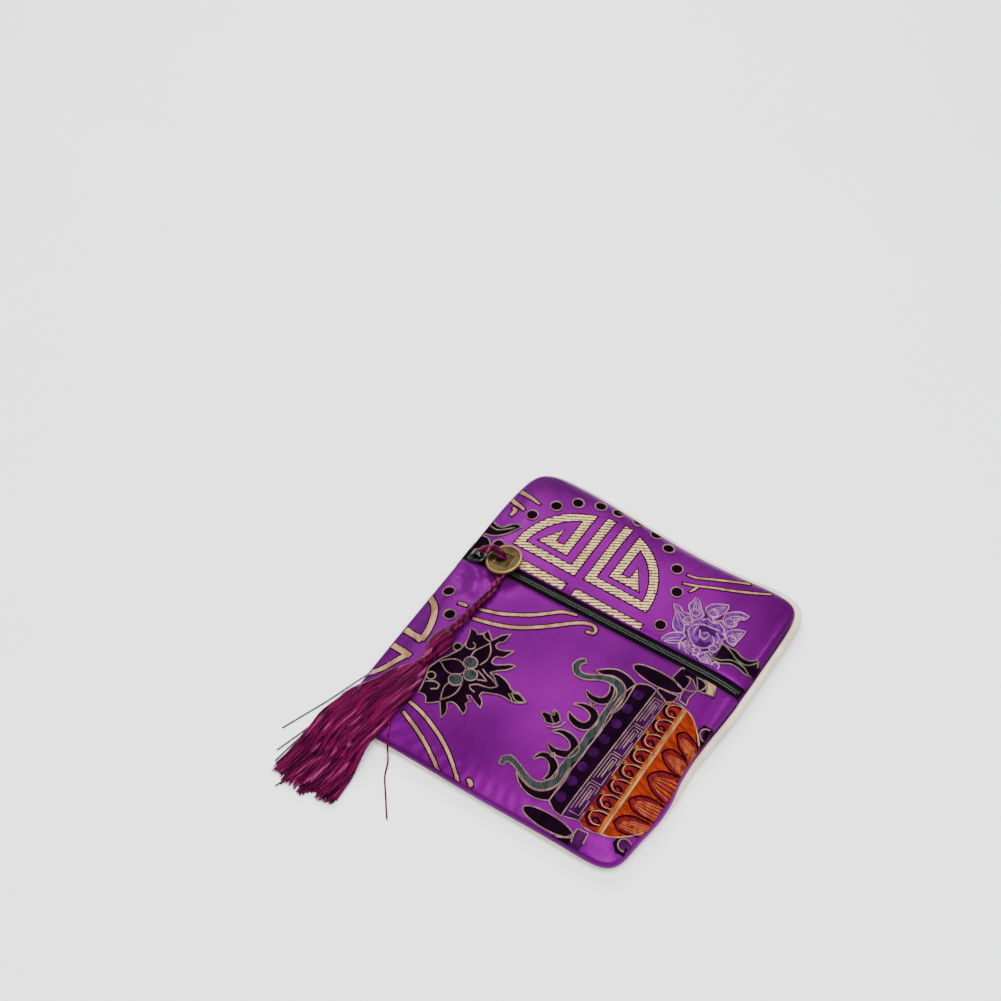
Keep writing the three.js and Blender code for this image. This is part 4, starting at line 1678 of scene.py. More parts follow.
@dataclass(frozen=True)
class LilacFlower:
    """The lilac flower over the zipper, with its dark crossed stem."""

    ground: tuple = (
        (25.4, 26), (24.6, 29.8), (25.4, 34.2), (27.4, 37.4), (32.4, 39.8), (38.0, 39.6),
        (41.2, 35.4), (40.6, 30.6), (41.2, 26), (40.4, 22.6), (36.8, 20.0), (29.6, 20.0),
    )
    petals: tuple = (
        (
            (21.1, 19.3), *FLOWER_CROP.read((200, 485), (265, 470), (330, 480), (340, 500),
            (300, 540), (285, 600), (240, 600)), (24.0, 18.8),
        ),
        FLOWER_CROP.read(
            (250, 255), (300, 275), (330, 320), (375, 330), (395, 370), (370, 400), (330, 420),
            (330, 465), (290, 470), (250, 440), (250, 380), (265, 330)
        ),
        FLOWER_CROP.read(
            (415, 205), (450, 240), (460, 290), (480, 340), (450, 370), (400, 345), (370, 300),
            (370, 260), (400, 235)
        ),
        FLOWER_CROP.read(
            (668, 268), (660, 300), (610, 340), (560, 365), (520, 350), (490, 290), (540, 262),
            (600, 258)
        ),
        FLOWER_CROP.read(
            (820, 352), (790, 375), (735, 375), (720, 420), (680, 440), (640, 420), (625, 370),
            (640, 330), (700, 318), (760, 320)
        ),
        FLOWER_CROP.read(
            (798, 465), (770, 500), (730, 540), (700, 575), (660, 550), (640, 500), (660, 460),
            (720, 450)
        ),
        (
            (41.8, 21.2), *FLOWER_CROP.read((500, 700), (450, 680), (430, 640), (480, 625),
            (520, 660)),
        ),
        (
            *FLOWER_CROP.read((300, 540), (340, 560), (420, 580), (450, 610), (430, 640)),
            (36.8, 19.2), *FLOWER_CROP.read((340, 650), (300, 610)),
        ),
    )
    scrolls: tuple = (
        (
            *FLOWER_CROP.read((600, 460), (530, 435), (470, 412), (400, 420)), (27.5, 29.3),
            *FLOWER_CROP.read((370, 500), (400, 560), (470, 590), (530, 575), (560, 540),
            (540, 500)),
        ),
        FLOWER_CROP.read(
            (450, 450), (445, 500), (480, 525), (520, 500), (505, 470), (480, 480)
        ),
        FLOWER_CROP.read(
            (400, 620), (395, 600), (420, 580), (450, 595), (440, 640), (370, 640), (330, 600)
        ),
        ((29.4, 35.4), (31.2, 36.9), (33.4, 36.4), (35.6, 37.6), (38.0, 36.2), (39.4, 34.4)),
        ((29.8, 32.4), (29.4, 30.2), (30.2, 28.2)),
        ((36.6, 33.4), (38.6, 31.8), (38.8, 29.6)),
        ((26.4, 30.6), (27.6, 32.0), (26.8, 33.6), (28.4, 34.8)),
        ((32.2, 38.2), (33.6, 36.8), (35.4, 39.0), (37.4, 37.8)),
        ((38.4, 34.6), (40.2, 33.4), (39.6, 31.6), (41.0, 30.4)),
        ((31.6, 22.2), (31.0, 24.0), (29.0, 24.6), (28.8, 22.8), (30.4, 21.6)),
        ((36.2, 23.4), (38.0, 25.0), (39.6, 24.2)),
    )
    curls: tuple = (
        (28.6, 34.6), (33.0, 37.0), (37.6, 35.6), (38.6, 30.6), (34.0, 29.8), (30.4, 26.8),
        (34.6, 22.8), (30.0, 22.2), (28.2, 30.4),
    )
    knobs: tuple = (
        ((25.4, 32.6), 1.5), ((25.9, 36.9), 1.6), ((31.6, 40.1), 1.7), ((38.3, 40.0), 1.8),
        ((42.4, 33.9), 1.8), ((38.8, 27.0), 1.6), ((43.0, 21.6), 1.4),
    )
    stem: tuple = (
        (39.8, 30.6), (43.5, 30.8), *FLOWER_CROP.read((720, 610), (760, 650), (820, 680),
        (880, 680)), (54.9, 31.6), (57.6, 30.2), (58.0, 26.6), *FLOWER_CROP.read((830, 800)),
        (53.1, 25.2), *FLOWER_CROP.read((740, 740)), (47.0, 25.3), (43.8, 23.3), (40.5, 23.2),
        *FLOWER_CROP.read((545, 620), (590, 600)),
    )
    stem_lines: tuple = (
        (
            (41.9, 30.6), (44.7, 29.6), (47.6, 28.3), *FLOWER_CROP.read((790, 710), (850, 710),
            (890, 700)),
        ),
        (
            (40.5, 23.9), (43.4, 24.6), (45.6, 26.3), *FLOWER_CROP.read((720, 690), (780, 730)),
            (54.0, 25.9),
        ),
        ((54.6, 31.8), (55.8, 29.4), (57.6, 28.2)),
    )

    def figures(self) -> list[Figure]:
        """Returns the flower and its stem."""
        veins = []
        for petal in self.petals:
            tip = Vector(petal[0])
            middle = sum((Vector(spot) for spot in petal), Vector((0, 0))) / len(petal)
            side = Vector((tip.y - middle.y, middle.x - tip.x)) * 0.16
            for bend in (-1.0, 0.0, 1.0):
                line = (tip.lerp(middle, 0.35), tip.lerp(middle, 0.75) + side * bend,
                        tip.lerp(middle, 1.35) + side * bend * 1.5)
                veins.append(Line(Thread.MAUVE, [tuple(spot) for spot in line], fine=True))
        return [
            Patch(Thread.DARK, self.stem, Thread.GREEN),
            *[Line(Thread.GREEN, line) for line in self.stem_lines],
            Patch(Thread.VIOLET, self.ground, None, 1),
            *[Patch(Thread.LILAC, ring_path(spot, 2.5, 2.3, 12), None, 2)
              for spot in self.curls],
            *[Patch(Thread.LILAC, petal, Thread.MAUVE, 2, True) for petal in self.petals],
            *veins,
            *[Line(Thread.MAUVE, line) for line in self.scrolls],
            *[Patch(Thread.LILAC, ring_path(spot, size, size * 0.9, 10), Thread.MAUVE, 3)
              for spot, size in self.knobs],
        ]


@dataclass(frozen=True)
class EdgeLeaves:
    """Dark leaves that run off the left edge over the zipper."""

    leaves: tuple = (
        ((-59, 33.4), (-55.4, 31.4), (-52.7, 31.2), (-50.6, 33.4), (-48.2, 34.8), (-46.4, 34.2),
         (-47.8, 32.0), (-49.2, 29.6), (-52.3, 26.9), (-59, 25.6)),
        ((-59, 24.8), (-55, 24.6), (-52.4, 22.6), (-51.8, 20.4), (-52.6, 18), (-59, 18)),
    )

    def figures(self) -> list[Figure]:
        """Returns the leaves."""
        return [
            *[Patch(Thread.DARK, leaf, Thread.GREEN) for leaf in self.leaves],
            Line(Thread.GREEN, ((-57, 30), (-54, 29.4), (-51.4, 30.6), (-48.4, 33))),
        ]


# Rim and zipper

@dataclass
class Piping:
    """The piped rim, a cord in a bias strip of cream satin."""

    form: PurseForm
    count: int = 420
    radius: float = 1.3
    swell: float = 0.035
    draw_in: float = 0.45
    slim: float = 0.15

    def build(self) -> bpy.types.Object:
        """Makes the piping."""
        form = self.form
        line, swell = [], []
        for k in range(self.count):
            angle = TURN * k / self.count
            u, v = math.cos(angle), math.sin(angle)
            stretch = 1 / max(abs(u), abs(v))
            x, y = u * stretch * form.half_width, v * stretch * form.half_length
            reach = form.reach(x, y)
            x, y = x / reach, y / reach
            roll = form.roll(x, y)
            spot = form.sagged(x, y)
            hidden = look_up(form.hangs, form.around(x, y)) - 1
            out = form.fit_gap + form.piping_radius - self.draw_in * hidden
            spot += form.outward(x, y) * out
            spot.z = form.seam_height - (form.piping_radius + form.fit_gap / 2) * min(2 * roll, 1)
            spot.z += 0.12 * noise.noise(Vector((x / 9, y / 9, 2.0)))
            line.append(spot)
            puff = self.swell * noise.noise(Vector((x / 3, y / 3, 5.0)))
            swell.append(1 + puff - self.slim * hidden)
        finish = WovenFinish("cream_satin", rgb(176, 154, 124), rgb(226, 212, 190), 0.4, 45, 0.5)
        piece = thread_mesh("piping_rim", [line], self.radius, finish.material(), 4, True, [swell])
        return show(piece, "cream_piping", "piping")


@dataclass
class Zipper:
    """Two woven tapes, a coil of interlocked turns and its slider."""

    form: PurseForm
    tape_width: float = 6.0
    tape_drop: float = 1.8
    tape_thickness: float = 0.6
    stop_short: float = 0.8
    over_piping: float = 5.85
    past_rim: float = 2.4
    coil_depth: float = 1.0
    turn_pitch: float = 1.15
    turn_points: int = 10
    wire: float = 0.21
    half_height: float = 0.5
    turn_middle: float = 0.5
    turn_reach: float = 0.62
    cord_radius: float = 0.34

    def tape(self, side: int, material: bpy.types.Material) -> bpy.types.Object:
        """Makes one tape; side is 1 above the coil and -1 below it."""
        form = self.form
        shape = bmesh.new()
        bmesh.ops.create_grid(shape, x_segments=110, y_segments=8, size=1.0)
        half = form.half_width - self.stop_short
        for vert in shape.verts:
            x = vert.co.x * half
            across = (vert.co.y + 1) / 2 * self.tape_width + 0.05
            reach = form.reach(x, form.zipper_y(x))
            rib = 0.07 if across > 1.15 else 0.0
            z = form.face_z(reach) - self.tape_drop + rib
            if vert.co.x < -0.97:
                over = smoothstep(-vert.co.x, 0.97, 0.985)
                z = lerp(z, self.over_piping, over)
                x = lerp(x, -form.half_width - self.past_rim, smoothstep(-vert.co.x, 0.985, 1.0))
            vert.co = (x, form.zipper_y(x) + side * across, z)
        if side < 0:
            bmesh.ops.reverse_faces(shape, faces=shape.faces)
        name = "tape_upper" if side > 0 else "tape_lower"
        piece = from_bmesh(name, shape, material)
        wall = piece.modifiers.new("wall", "SOLIDIFY")
        wall.thickness = self.tape_thickness * MM
        wall.offset = -1.0
        node = "zipper_tape_upper" if side > 0 else "zipper_tape_lower"
        return show(piece, "black_tape", node)

    def coil_line(self, side: int) -> list[Vector]:
        """Returns one row of turns; side is 1 above the middle and -1 below it."""
        form = self.form
        half = form.half_width - self.stop_short - 0.5
        turns = int(2 * half / self.turn_pitch)
        line = []
        for k in range(turns * self.turn_points):
            turn = k / self.turn_points + (0.5 if side > 0 else 0.0)
            x = -half + turn * self.turn_pitch
            if x > half:
                break
            angle = TURN * turn
            y = side * (self.turn_middle + self.turn_reach * math.cos(angle))
            level = form.face_z(form.reach(x, form.zipper_y(x))) - self.coil_depth
            line.append(Vector((x, form.zipper_y(x) + y,
                                level + self.half_height * math.sin(angle))))
        return line

    def coil(self) -> bpy.types.Object:
        """Makes the coil."""
        finish = DarkFinish("black_nylon", rgb(5, 6, 5), rgb(26, 30, 27), 0.34)
        lines = [self.coil_line(1), self.coil_line(-1)]
        core = []
        for side in (-1, 1):
            core.append([
                Vector((x, self.form.zipper_y(x) + side * self.turn_middle,
                        self.form.face_z(self.form.reach(x, self.form.zipper_y(x)))
                        - self.coil_depth))
                for x in (k * 2.0 for k in range(-27, 28))
            ])
        piece = thread_mesh("coil_turns", lines, self.wire, finish.material(), 1)
        show(piece, "black_coil", "zipper_coil")
        cords = thread_mesh("coil_cords", core, self.cord_radius, finish.material(), 1)
        return show(cords, "black_coil")

    def build(self) -> None:
        """Makes the zipper without its slider."""
        tape = WovenFinish("black_tape", rgb(2, 2, 2), rgb(13, 14, 13), 0.45, 20, 0.75, 0.0, 0.06)
        cloth = tape.material()
        self.tape(1, cloth)
        self.tape(-1, cloth)
        self.coil()


@dataclass
class Slider:
    """The slider: a waisted plate with turned flanges and an open bridge."""

    form: PurseForm
    from_left: float = 6.4
    half_span: float = 59.0
    length: float = 7.0
    plate: float = 1.1
    bridge_height: float = 1.8
    bridge_length: float = 4.6
    bridge_width: float = 2.4
    outline: tuple = (
        (-3.5, 0), (-3.4, -2.4), (-2.4, -3.1), (0.2, -3.2), (1.4, -3.0), (2.6, -2.3), (3.4, -1.0),
        (3.5, 0),
    )

    def placed(self) -> Matrix:
        """Returns where the slider lies on the face's slope, as the solid does."""
        form = self.form
        x = self.from_left - self.half_span
        y = form.zipper_y(x)
        left = form.face_z(form.reach(x - self.length / 2, y))
        right = form.face_z(form.reach(x + self.length / 2, y))
        slope = (right - left) / self.length
        tenth = self.length / 10
        lift = max(
            form.face_z(form.reach(x + share * self.length / 10, y)) - slope * share * tenth
            for share in range(-5, 6)
        )
        turn = Matrix.Rotation(-math.atan(slope), 4, "Y")
        return Matrix.Translation((x, y, lift + form.fit_gap)) @ turn

    def build(self) -> bpy.types.Object:
        """Makes the slider."""
        shape = bmesh.new()
        lower = smooth_path(self.outline, 0.5)
        upper = [Vector((spot.x, -spot.y, 0)) for spot in reversed(lower[1:-1])]
        face = shape.faces.new([shape.verts.new(spot) for spot in [*lower, *upper]])
        plate = bmesh.ops.extrude_face_region(shape, geom=[face])["geom"]
        raised = [item for item in plate if isinstance(item, bmesh.types.BMVert)]
        bmesh.ops.translate(shape, verts=raised, vec=(0, 0, self.plate))
        bmesh.ops.recalc_face_normals(shape, faces=shape.faces)
        top = [edge for edge in shape.edges
               if all(vert.co.z > self.plate / 2 for vert in edge.verts)]
        bmesh.ops.bevel(shape, geom=top, offset=0.35, segments=3, profile=0.5, affect="EDGES",
                        material=-1)
        half = self.bridge_length / 2
        rise = [(0.3, -0.3), (0.4, 0.8), (1.3, self.bridge_height - 0.35)]
        arch = [Vector((-half + inset, 0, self.plate + up)) for inset, up in rise]
        arch += [Vector((half - inset, 0, self.plate + up)) for inset, up in reversed(rise)]
        bar = bmesh.new()
        line = smooth_path(arch, 0.5, corner=80)
        ring = bmesh.ops.create_circle(bar, segments=10, radius=1.0)["verts"]
        for vert in ring:
            vert.co = Vector((0.4 * vert.co.x, self.bridge_width / 2 * vert.co.y, 0)) + line[0]
        edges = list({edge for vert in ring for edge in vert.link_edges})
        first_edges = edges
        for before, here in zip(line, line[1:]):
            grown = bmesh.ops.extrude_edge_only(bar, edges=edges)["geom"]
            verts = [item for item in grown if isinstance(item, bmesh.types.BMVert)]
            bmesh.ops.translate(bar, verts=verts, vec=here - before)
            edges = [item for item in grown if isinstance(item, bmesh.types.BMEdge)]
        bmesh.ops.edgeloop_fill(bar, edges=edges)
        bmesh.ops.edgeloop_fill(bar, edges=first_edges)
        bmesh.ops.recalc_face_normals(bar, faces=bar.faces)
        part = bpy.data.meshes.new("bridge")
        bar.to_mesh(part)
        bar.free()
        shape.from_mesh(part)
        bpy.data.meshes.remove(part)
        bmesh.ops.transform(shape, matrix=self.placed(), verts=shape.verts)
        finish = DarkFinish("black_enamel", rgb(5, 5, 5), rgb(30, 31, 29), 0.24, 0.2)
        piece = from_bmesh("slider_body", shape, finish.material(), 40.0)
        return show(piece, "black_slider", "zipper_slider")


# Charm and tassel

@dataclass
class CoinCharm:
    """A round charm with a square hole, raised rims and a bare, tarnished field."""

    centre: tuple = (-42.5, 16.7, 13.2)
    tilt: float = 15.0
    radius: float = 6.8
    half: float = 0.6
    rim: float = 1.0
    hole: float = 2.4
    frame: float = 0.75
    field: float = 0.36
    count: int = 64

    def ring(self, shape: bmesh.types.BMesh, reach: float, square: float, z: float) -> list:
        """Adds one loop of edges between a circle (square 0) and a square (square 1)."""
        verts = bmesh.ops.create_circle(shape, segments=self.count, radius=1.0)["verts"]
        for vert in verts:
            way = Vector((vert.co.x, vert.co.y, 0.0))
            corner = way / max(abs(way.x), abs(way.y))
            vert.co = way.lerp(corner, square) * reach
            vert.co.z = z
        return list({edge for vert in verts for edge in vert.link_edges})

    def build(self) -> bpy.types.Object:
        """Makes the charm."""
        shape = bmesh.new()
        inner, outer = self.hole + self.frame, self.radius - self.rim
        section = (
            (self.hole, 1.0, self.half - 0.2), (self.hole + 0.12, 1.0, self.half - 0.04),
            (self.hole + 0.25, 1.0, self.half), (inner - 0.2, 0.98, self.half),
            (inner, 0.95, self.field), (outer - 0.15, 0.0, self.field),
            (outer, 0.0, self.half - 0.05), (outer + 0.2, 0.0, self.half),
            (self.radius - 0.25, 0.0, self.half), (self.radius - 0.06, 0.0, self.half - 0.12),
            (self.radius, 0.0, self.half - 0.3),
        )
        loops = [self.ring(shape, reach, square, z) for reach, square, z in section]
        loops += [self.ring(shape, reach, square, -z) for reach, square, z in reversed(section)]
        for first, second in zip(loops, [*loops[1:], loops[0]]):
            bmesh.ops.bridge_loops(shape, edges=first + second)
        bmesh.ops.recalc_face_normals(shape, faces=shape.faces)
        turn = Matrix.Rotation(math.radians(-self.tilt), 4, "Y")
        bmesh.ops.transform(
            shape, matrix=Matrix.Translation(self.centre) @ turn, verts=shape.verts
        )
        piece = from_bmesh("coin_charm", shape, BrassFinish().material(), 35.0)
        return show(piece, "aged_brass", "coin")


@dataclass
class Tassel:
    """The cord from the slider through the coin, the tassel's head, neck and skirt."""

    form: PurseForm
    route: tuple = (
        (-52.2, 15.7, 13.3), (-50.3, 16.5, 13.8), (-48.5, 17.4, 14.5), (-46.7, 17.9, 15.0),
        (-45.0, 17.7, 14.7), (-43.5, 17.2, 13.6), (-42.0, 16.6, 12.4), (-40.8, 15.6, 11.6),
        (-40.2, 13.7, 11.3), (-40.1, 11.0, 11.3), (-39.8, 7.0, 11.3), (-39.6, 2.8, 11.3),
        (-40.0, -1.4, 11.3), (-40.6, -5.6, 11.3), (-41.2, -9.8, 11.3), (-41.6, -13.4, 11.6),
        (-41.9, -16.4, 12.3), (-42.1, -19.2, 13.0),
    )
    through: tuple = (
        (-42.0, -23.0, 13.2), (-42.1, -27.0, 13.2), (-42.4, -31.0, 12.8), (-42.8, -36.0, 12.4),
    )
    cord_length: float = 0.064
    cord_width: float = 0.0031
    strand: float = 0.85
    twist_pitch: float = 6.2
    head_centre: tuple = (-41.9, -25.2)
    head_axis: tuple = (-0.0995, -0.995)
    head_half: tuple = (4.0, 5.5, 3.4)
    head_threads: int = 46
    head_stations: int = 15
    head_thread: float = 0.36
    head_thread_inset: float = 0.35
    neck_radius: float = 2.0
    neck_length: float = 4.0
    binding_turns: int = 6
    binding_points: int = 14
    binding_pitch: float = 0.5
    binding_thread: float = 0.32
    skirt_length: float = 62.0
    sway: tuple = ((0, 0), (0.2, 0.05), (0.4, 0.12), (0.6, 0.158), (0.8, 0.163), (1, 0.17))
    spread: tuple = ((0, 0.022), (0.2, 0.1), (0.4, 0.15), (0.6, 0.165), (0.8, 0.185), (1, 0.2))
    lock_half: tuple = (1.8, 1.5)
    clumps: int = 26
    per_clump: int = 17
    strand_radius: float = 0.24
    strand_stations: int = 22
    locks: int = 9
    lock_radius: float = 1.15
    lock_length: float = 0.93
    stray_radius: float = 0.34
    drop_run: float = 15.0
    seed: int = 11

    def support(self, x: float, y: float) -> float:
        """Returns the height of what the skirt lies on."""
        form = self.form
        reach = form.reach(x, y)
        outside = max(reach - 1, 0.0) * form.half_width - form.seam_inset
        fallen = smoothstep(outside / self.drop_run)
        return lerp(form.face_z(reach) + form.fit_gap, 0.1, fallen)

    def rest(self, x: float, y: float, half_width: float) -> float:
        """Returns the height where a lock of a half width rests."""
        return max(
            self.support(x - half_width, y), self.support(x, y),
            self.support(x + half_width, y), self.support(x, y + half_width),
        )

    def neck_end(self) -> Vector:
        """Returns where the neck ends and the skirt starts."""
        axis = Vector(self.head_axis)
        start = Vector(self.head_centre) + axis * (self.head_half[1] - self.neck_length / 4)
        end = start + axis * self.neck_length
        level = self.form.face_z(self.form.reach(end.x, end.y)) + self.form.fit_gap
        return Vector((end.x, end.y, level + self.neck_radius))

    def cord(self) -> bpy.types.Object:
        """Makes the cord of two strands twisted together."""
        line = smooth_path([*self.route, *self.through], 0.6, corner=170)
        travelled, strands = 0.0, [[], []]
        for index, here in enumerate(line):
            before, after = line[max(index - 1, 0)], line[min(index + 1, len(line) - 1)]
            travelled += (here - before).length
            run = (after - before).normalized()
            side = run.cross(Vector((0, 0, 1))).normalized()
            up = side.cross(run)
            angle = TURN * travelled / self.twist_pitch
            for number, turn in enumerate((angle, angle + math.pi)):
                off = side * math.cos(turn) + up * (math.sin(turn) * 0.75)
                strands[number].append(here + off * self.strand * 0.9 + Vector((0, 0, 0.15)))
        # plum_cord's third colour is the pink of its painted highlight streaks, also its gloss tint
        finish = StrandFinish(
            "plum_cord", rgb(28, 0, 15), rgb(72, 4, 40), rgb(156, 62, 112), 0.7, 0.36
        )
        piece = thread_mesh("cord_strands", strands, self.strand, finish.material(), 3)
        return show(piece, "plum_cord", "tassel_cord")

    def head(self, material: bpy.types.Material) -> bpy.types.Object:
        """Makes the head: threads folded over a core and drawn in at the neck."""
        form = self.form
        axis = Vector((*self.head_axis, 0.0))
        side = Vector((-axis.y, axis.x, 0.0))
        middle = Vector((*self.head_centre, 0.0))
        level = form.face_z(form.reach(middle.x, middle.y)) + form.fit_gap + self.head_half[2]
        neck = self.neck_end()
        lines = []
        for k in range(self.head_threads):
            around = TURN * k / self.head_threads
            line = []
            for step in range(self.head_stations):
                share = step / (self.head_stations - 1)
                along = lerp(-self.head_half[1], self.head_half[1] + self.neck_length * 0.9, share)
                bulge = math.sqrt(max(1 - (along / self.head_half[1]) ** 2, 0.0))
                bulge = bulge**0.75
                if along > 0:
                    bulge = max(bulge, 0.44)
                wide = (self.head_half[0] - self.head_thread_inset) * max(bulge, 0.12)
                high = (self.head_half[2] - self.head_thread_inset) * max(bulge, 0.12)
                centre = middle + axis * along
                centre.z = lerp(level, neck.z, smoothstep(along, 2.0, self.head_half[1] + 2.0))
                up = Vector((0, 0, high * math.sin(around)))
                line.append(centre + side * (wide * math.cos(around)) + up)
            lines.append(line)
        piece = thread_mesh("tassel_head", lines, self.head_thread, material, 1)
        return show(piece, "plum_tassel")

    def neck(self, material: bpy.types.Material) -> bpy.types.Object:
        """Makes the binding wound round the neck."""
        axis = Vector((*self.head_axis, 0.0))
        side = Vector((-axis.y, axis.x, 0.0))
        end = self.neck_end()
        start = end - axis * (self.neck_length * 0.95)
        line = []
        for k in range(self.binding_turns * self.binding_points):
            turn = k / self.binding_points
            spot = start + axis * (turn * self.binding_pitch)
            angle = TURN * turn
            line.append(
                spot + side * (self.neck_radius * 0.98 * math.cos(angle))
                + Vector((0, 0, self.neck_radius * 0.98 * math.sin(angle)))
            )
        piece = thread_mesh("tassel_neck_binding", [line], self.binding_thread, material, 2)
        return show(piece, "plum_tassel")

    def strand_line(
        self, side: float, offset: Point, share_end: float, wave: tuple, reach_out: float
    ) -> list[Vector]:
        """Returns one skirt strand.

        Args:
            side: Its lock's place, from -1 at the left edge to 1 at the right.
            offset: Its place in the lock's section, from -1 to 1 both ways.
            share_end: Its length as a share of the skirt's.
            wave: Amplitude, number of waves and phase of its waviness.
            reach_out: How far it opens from its lock towards the tip.

        Returns:
            The strand's points.
        """
        neck = self.neck_end()
        line = []
        for k in range(self.strand_stations):
            share = share_end * k / (self.strand_stations - 1)
            tip = 1 - 0.3 * smoothstep(share, 0.8, 1.0)
            full = smoothstep(share, 0.0, 0.3) * tip
            half_width = self.lock_half[0] * lerp(0.5, 1, full)
            half_thick = self.lock_half[1] * lerp(0.7, 1, full)
            middle = neck.x - look_up(self.sway, share) * self.skirt_length
            x = middle + side * look_up(self.spread, share) * self.skirt_length
            y = neck.y - share * self.skirt_length
            rest = self.rest(x, y, half_width) + half_thick
            level = max(lerp(neck.z, rest, smoothstep(share, 0, 0.12)), rest)
            sway = wave[0] * math.sin(TURN * wave[1] * share + wave[2]) * smoothstep(share, 0, 0.25)
            open_out = 1 + reach_out * share
            line.append(Vector((
                x + (offset[0] * half_width * open_out + sway) * 0.92,
                y,
                level + offset[1] * half_thick * 0.85 + 0.1 * sway,
            )))
        return line

    def skirt(self, material: bpy.types.Material) -> None:
        """Makes the skirt's strands and the thick locks that fill it."""
        chance = random.Random(self.seed)
        lines = []
        for clump in range(self.clumps):
            side = 2 * (clump + 0.5) / self.clumps - 1
            level = chance.uniform(-0.5, 0.7)
            phase = chance.uniform(0, TURN)
            length = chance.uniform(0.93, 1.0) - 0.05 * side * side
            for _ in range(self.per_clump):
                angle, out = chance.uniform(0, TURN), math.sqrt(chance.random())
                offset = (0.62 * out * math.cos(angle), level + 0.42 * out * math.sin(angle))
                wave = (chance.uniform(0.05, 0.3), chance.uniform(1.2, 2.6),
                        phase + chance.uniform(-0.7, 0.7))
                end = length + chance.uniform(-0.035, 0.03)
                lines.append(self.strand_line(side, offset, end, wave, chance.uniform(0, 0.4)))
        strands = thread_mesh("tassel_skirt", lines, self.strand_radius, material, 0)
        show(strands, "plum_tassel", "tassel")
        inner = [
            self.strand_line(2 * k / (self.locks - 1) - 1, (0, -0.2), self.lock_length, (0, 1, 0), 0)
            for k in range(self.locks)
        ]
        last = self.strand_stations - 1
        swell = [lerp(0.75, 1.0, smoothstep(k / last, 0, 0.3)) for k in range(last + 1)]
        core = thread_mesh(
            "tassel_locks", inner, self.lock_radius, material, 2, False, [swell] * self.locks
        )
        show(core, "plum_tassel")

    def strays(self, material: bpy.types.Material) -> None:
        """Makes the loose threads beside the skirt."""
        dark = DarkFinish("dark_thread_loose", rgb(34, 26, 34), rgb(80, 70, 80), 0.5).material()
        loose = (
            ((-58.5, -45.5, 5.5), (-61.7, -50.2, 2.6), (-66, -60, 0.6), (-69.4, -68.6, 0.4),
             (-73.1, -78.2, 0.4)),
            ((-60.8, -59.5, 3.2), (-63.4, -66, 1.4), (-66.4, -76, 0.4), (-69.3, -86.2, 0.4)),
            ((-61.4, -64, 2.4), (-63.6, -71, 1.0), (-66, -80, 0.4), (-67.3, -90.1, 0.4)),
            ((-58.6, -84, 1.6), (-59.4, -92, 0.6), (-61.4, -98, 0.4)),
        )
        plum = (
            ((-41.6, -56, 11.6), (-39.0, -61.5, 9.4), (-36.7, -65.7, 5.6), (-34.0, -69.6, 1.4),
             (-32.3, -73.8, 0.5), (-27.4, -80.4, 0.4), (-21.8, -87.7, 0.4)),
            ((-57.4, -82, 1.4), (-58.8, -90, 0.5), (-60.4, -96.6, 0.4)),
        )
        for name, paths, finish in (
            ("loose_dark_threads", loose, dark), ("loose_plum_threads", plum, material)
        ):
            lines = [smooth_path(path, 1.5) for path in paths]
            show(thread_mesh(name, lines, self.stray_radius, finish, 1), "plum_tassel")

    def build(self) -> None:
        # plum_silk's third colour is the pink of its painted highlight streaks, also its gloss tint
        silk = StrandFinish(
            "plum_silk", rgb(22, 0, 14), rgb(84, 5, 50), rgb(176, 66, 124)
        ).material()
        cord = self.cord()
        head = self.head(silk)
        neck = self.neck(silk)
        self.skirt(silk)
        self.strays(silk)
        path = [Vector(spot) * MM for spot in smooth_path([*self.route, *self.through], 1.5)]
        length = sum((b - a).length for a, b in zip(path, path[1:]))
        LOG.info("cord length %.4f m", length)


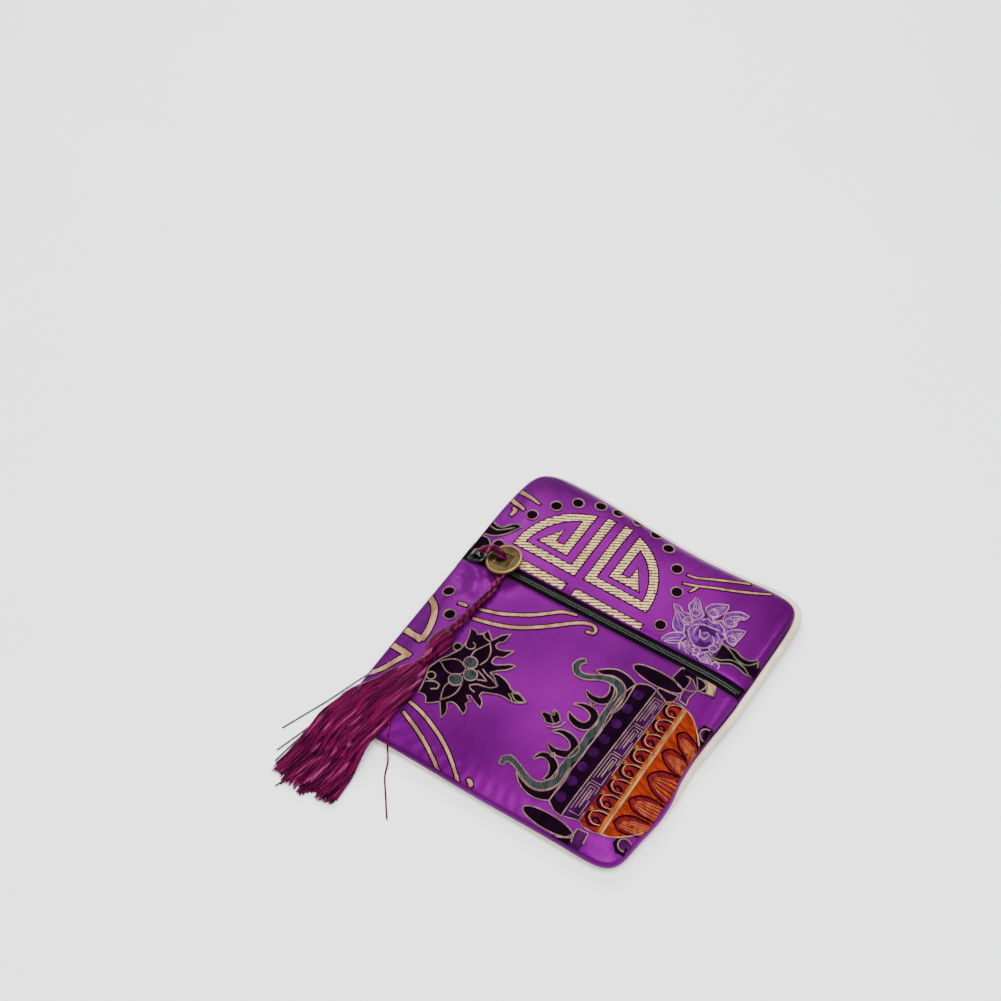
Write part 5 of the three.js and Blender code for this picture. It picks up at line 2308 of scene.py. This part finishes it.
@dataclass(frozen=True)
class Studio:
    """The pale floor, soft lights and the camera."""

    view: PhotoView = PhotoView()
    sensor: float = 36.0
    floor_half: float = 3000.0
    world_light: float = 0.45
    lamps: tuple = (
        ("overhead", (0.2, -0.3, 1.2), 0.9, 36.0),
        ("key", (-0.3, 0.42, 0.6), 0.3, 2.6),
        ("gleam", (-0.72, 0.62, 0.9), 0.45, 7.0),
    )

    def camera(self) -> None:
        """Makes the camera at the photograph's angle."""
        data = bpy.data.cameras.new("camera")
        data.sensor_width = self.sensor
        data.lens = self.view.focal / self.view.size * self.sensor
        eye = bpy.data.objects.new("camera", data)
        way = Vector(self.view.axes()[0])
        eye.location = (Vector(self.view.target) + way * self.view.distance) * MM
        eye.rotation_euler = way.to_track_quat("Z", "Y").to_euler()
        bpy.context.scene.collection.objects.link(eye)
        bpy.context.scene.camera = eye

    def lamp(self, name: str, place: Sequence[float], size: float, power: float) -> None:
        """Makes a soft square lamp that looks at the purse."""
        data = bpy.data.lights.new(name, "AREA")
        data.shape = "SQUARE"
        data.size = size
        data.energy = power
        lamp = bpy.data.objects.new(name, data)
        lamp.location = place
        lamp.rotation_euler = Vector(place).to_track_quat("Z", "Y").to_euler()
        bpy.context.scene.collection.objects.link(lamp)

    def floor(self) -> None:
        """Makes the floor."""
        shape = bmesh.new()
        bmesh.ops.create_grid(shape, x_segments=8, y_segments=8, size=self.floor_half)
        sheet = NodeSheet("pale_floor")
        grain = sheet.mottle(60.0, 4.0)
        colour = sheet.blend(grain, rgb(246, 246, 246), rgb(252, 252, 252))
        floor = from_bmesh("floor", shape, sheet.finish(colour, 0.8))

    def build(self) -> None:
        """Makes the whole studio."""
        self.camera()
        self.floor()
        for lamp in self.lamps:
            self.lamp(*lamp)
        world = bpy.data.worlds.new("studio")
        world.use_nodes = True
        world.node_tree.nodes["Background"].inputs[0].default_value = (1, 1, 1, 1)
        world.node_tree.nodes["Background"].inputs[1].default_value = self.world_light
        bpy.context.scene.world = world


def main() -> None:
    """Builds the purse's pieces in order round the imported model."""
    logging.basicConfig(level=logging.INFO, format="%(message)s")
    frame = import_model()
    LOG.info("frame %s", type(frame).__name__)
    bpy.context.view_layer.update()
    form = PurseForm()
    Studio().build()
    CoinCharm().build()
    Tassel(form).build()
    SoftPanels(form).build()
    brocade = BrocadeFigures(form)
    for motif in (
        FretRoundel(), DotRings(), GoldScrolls(), EdgeLeaves(), LilacFlower(), ThornyLotus(),
        ScrollCrest(), Burner(),
    ):
        brocade.add(motif.figures())
    brocade.build()
    Piping(form).build()
    Zipper(form).build()
    Slider(form).build()


if __name__ == "__main__":
    main()
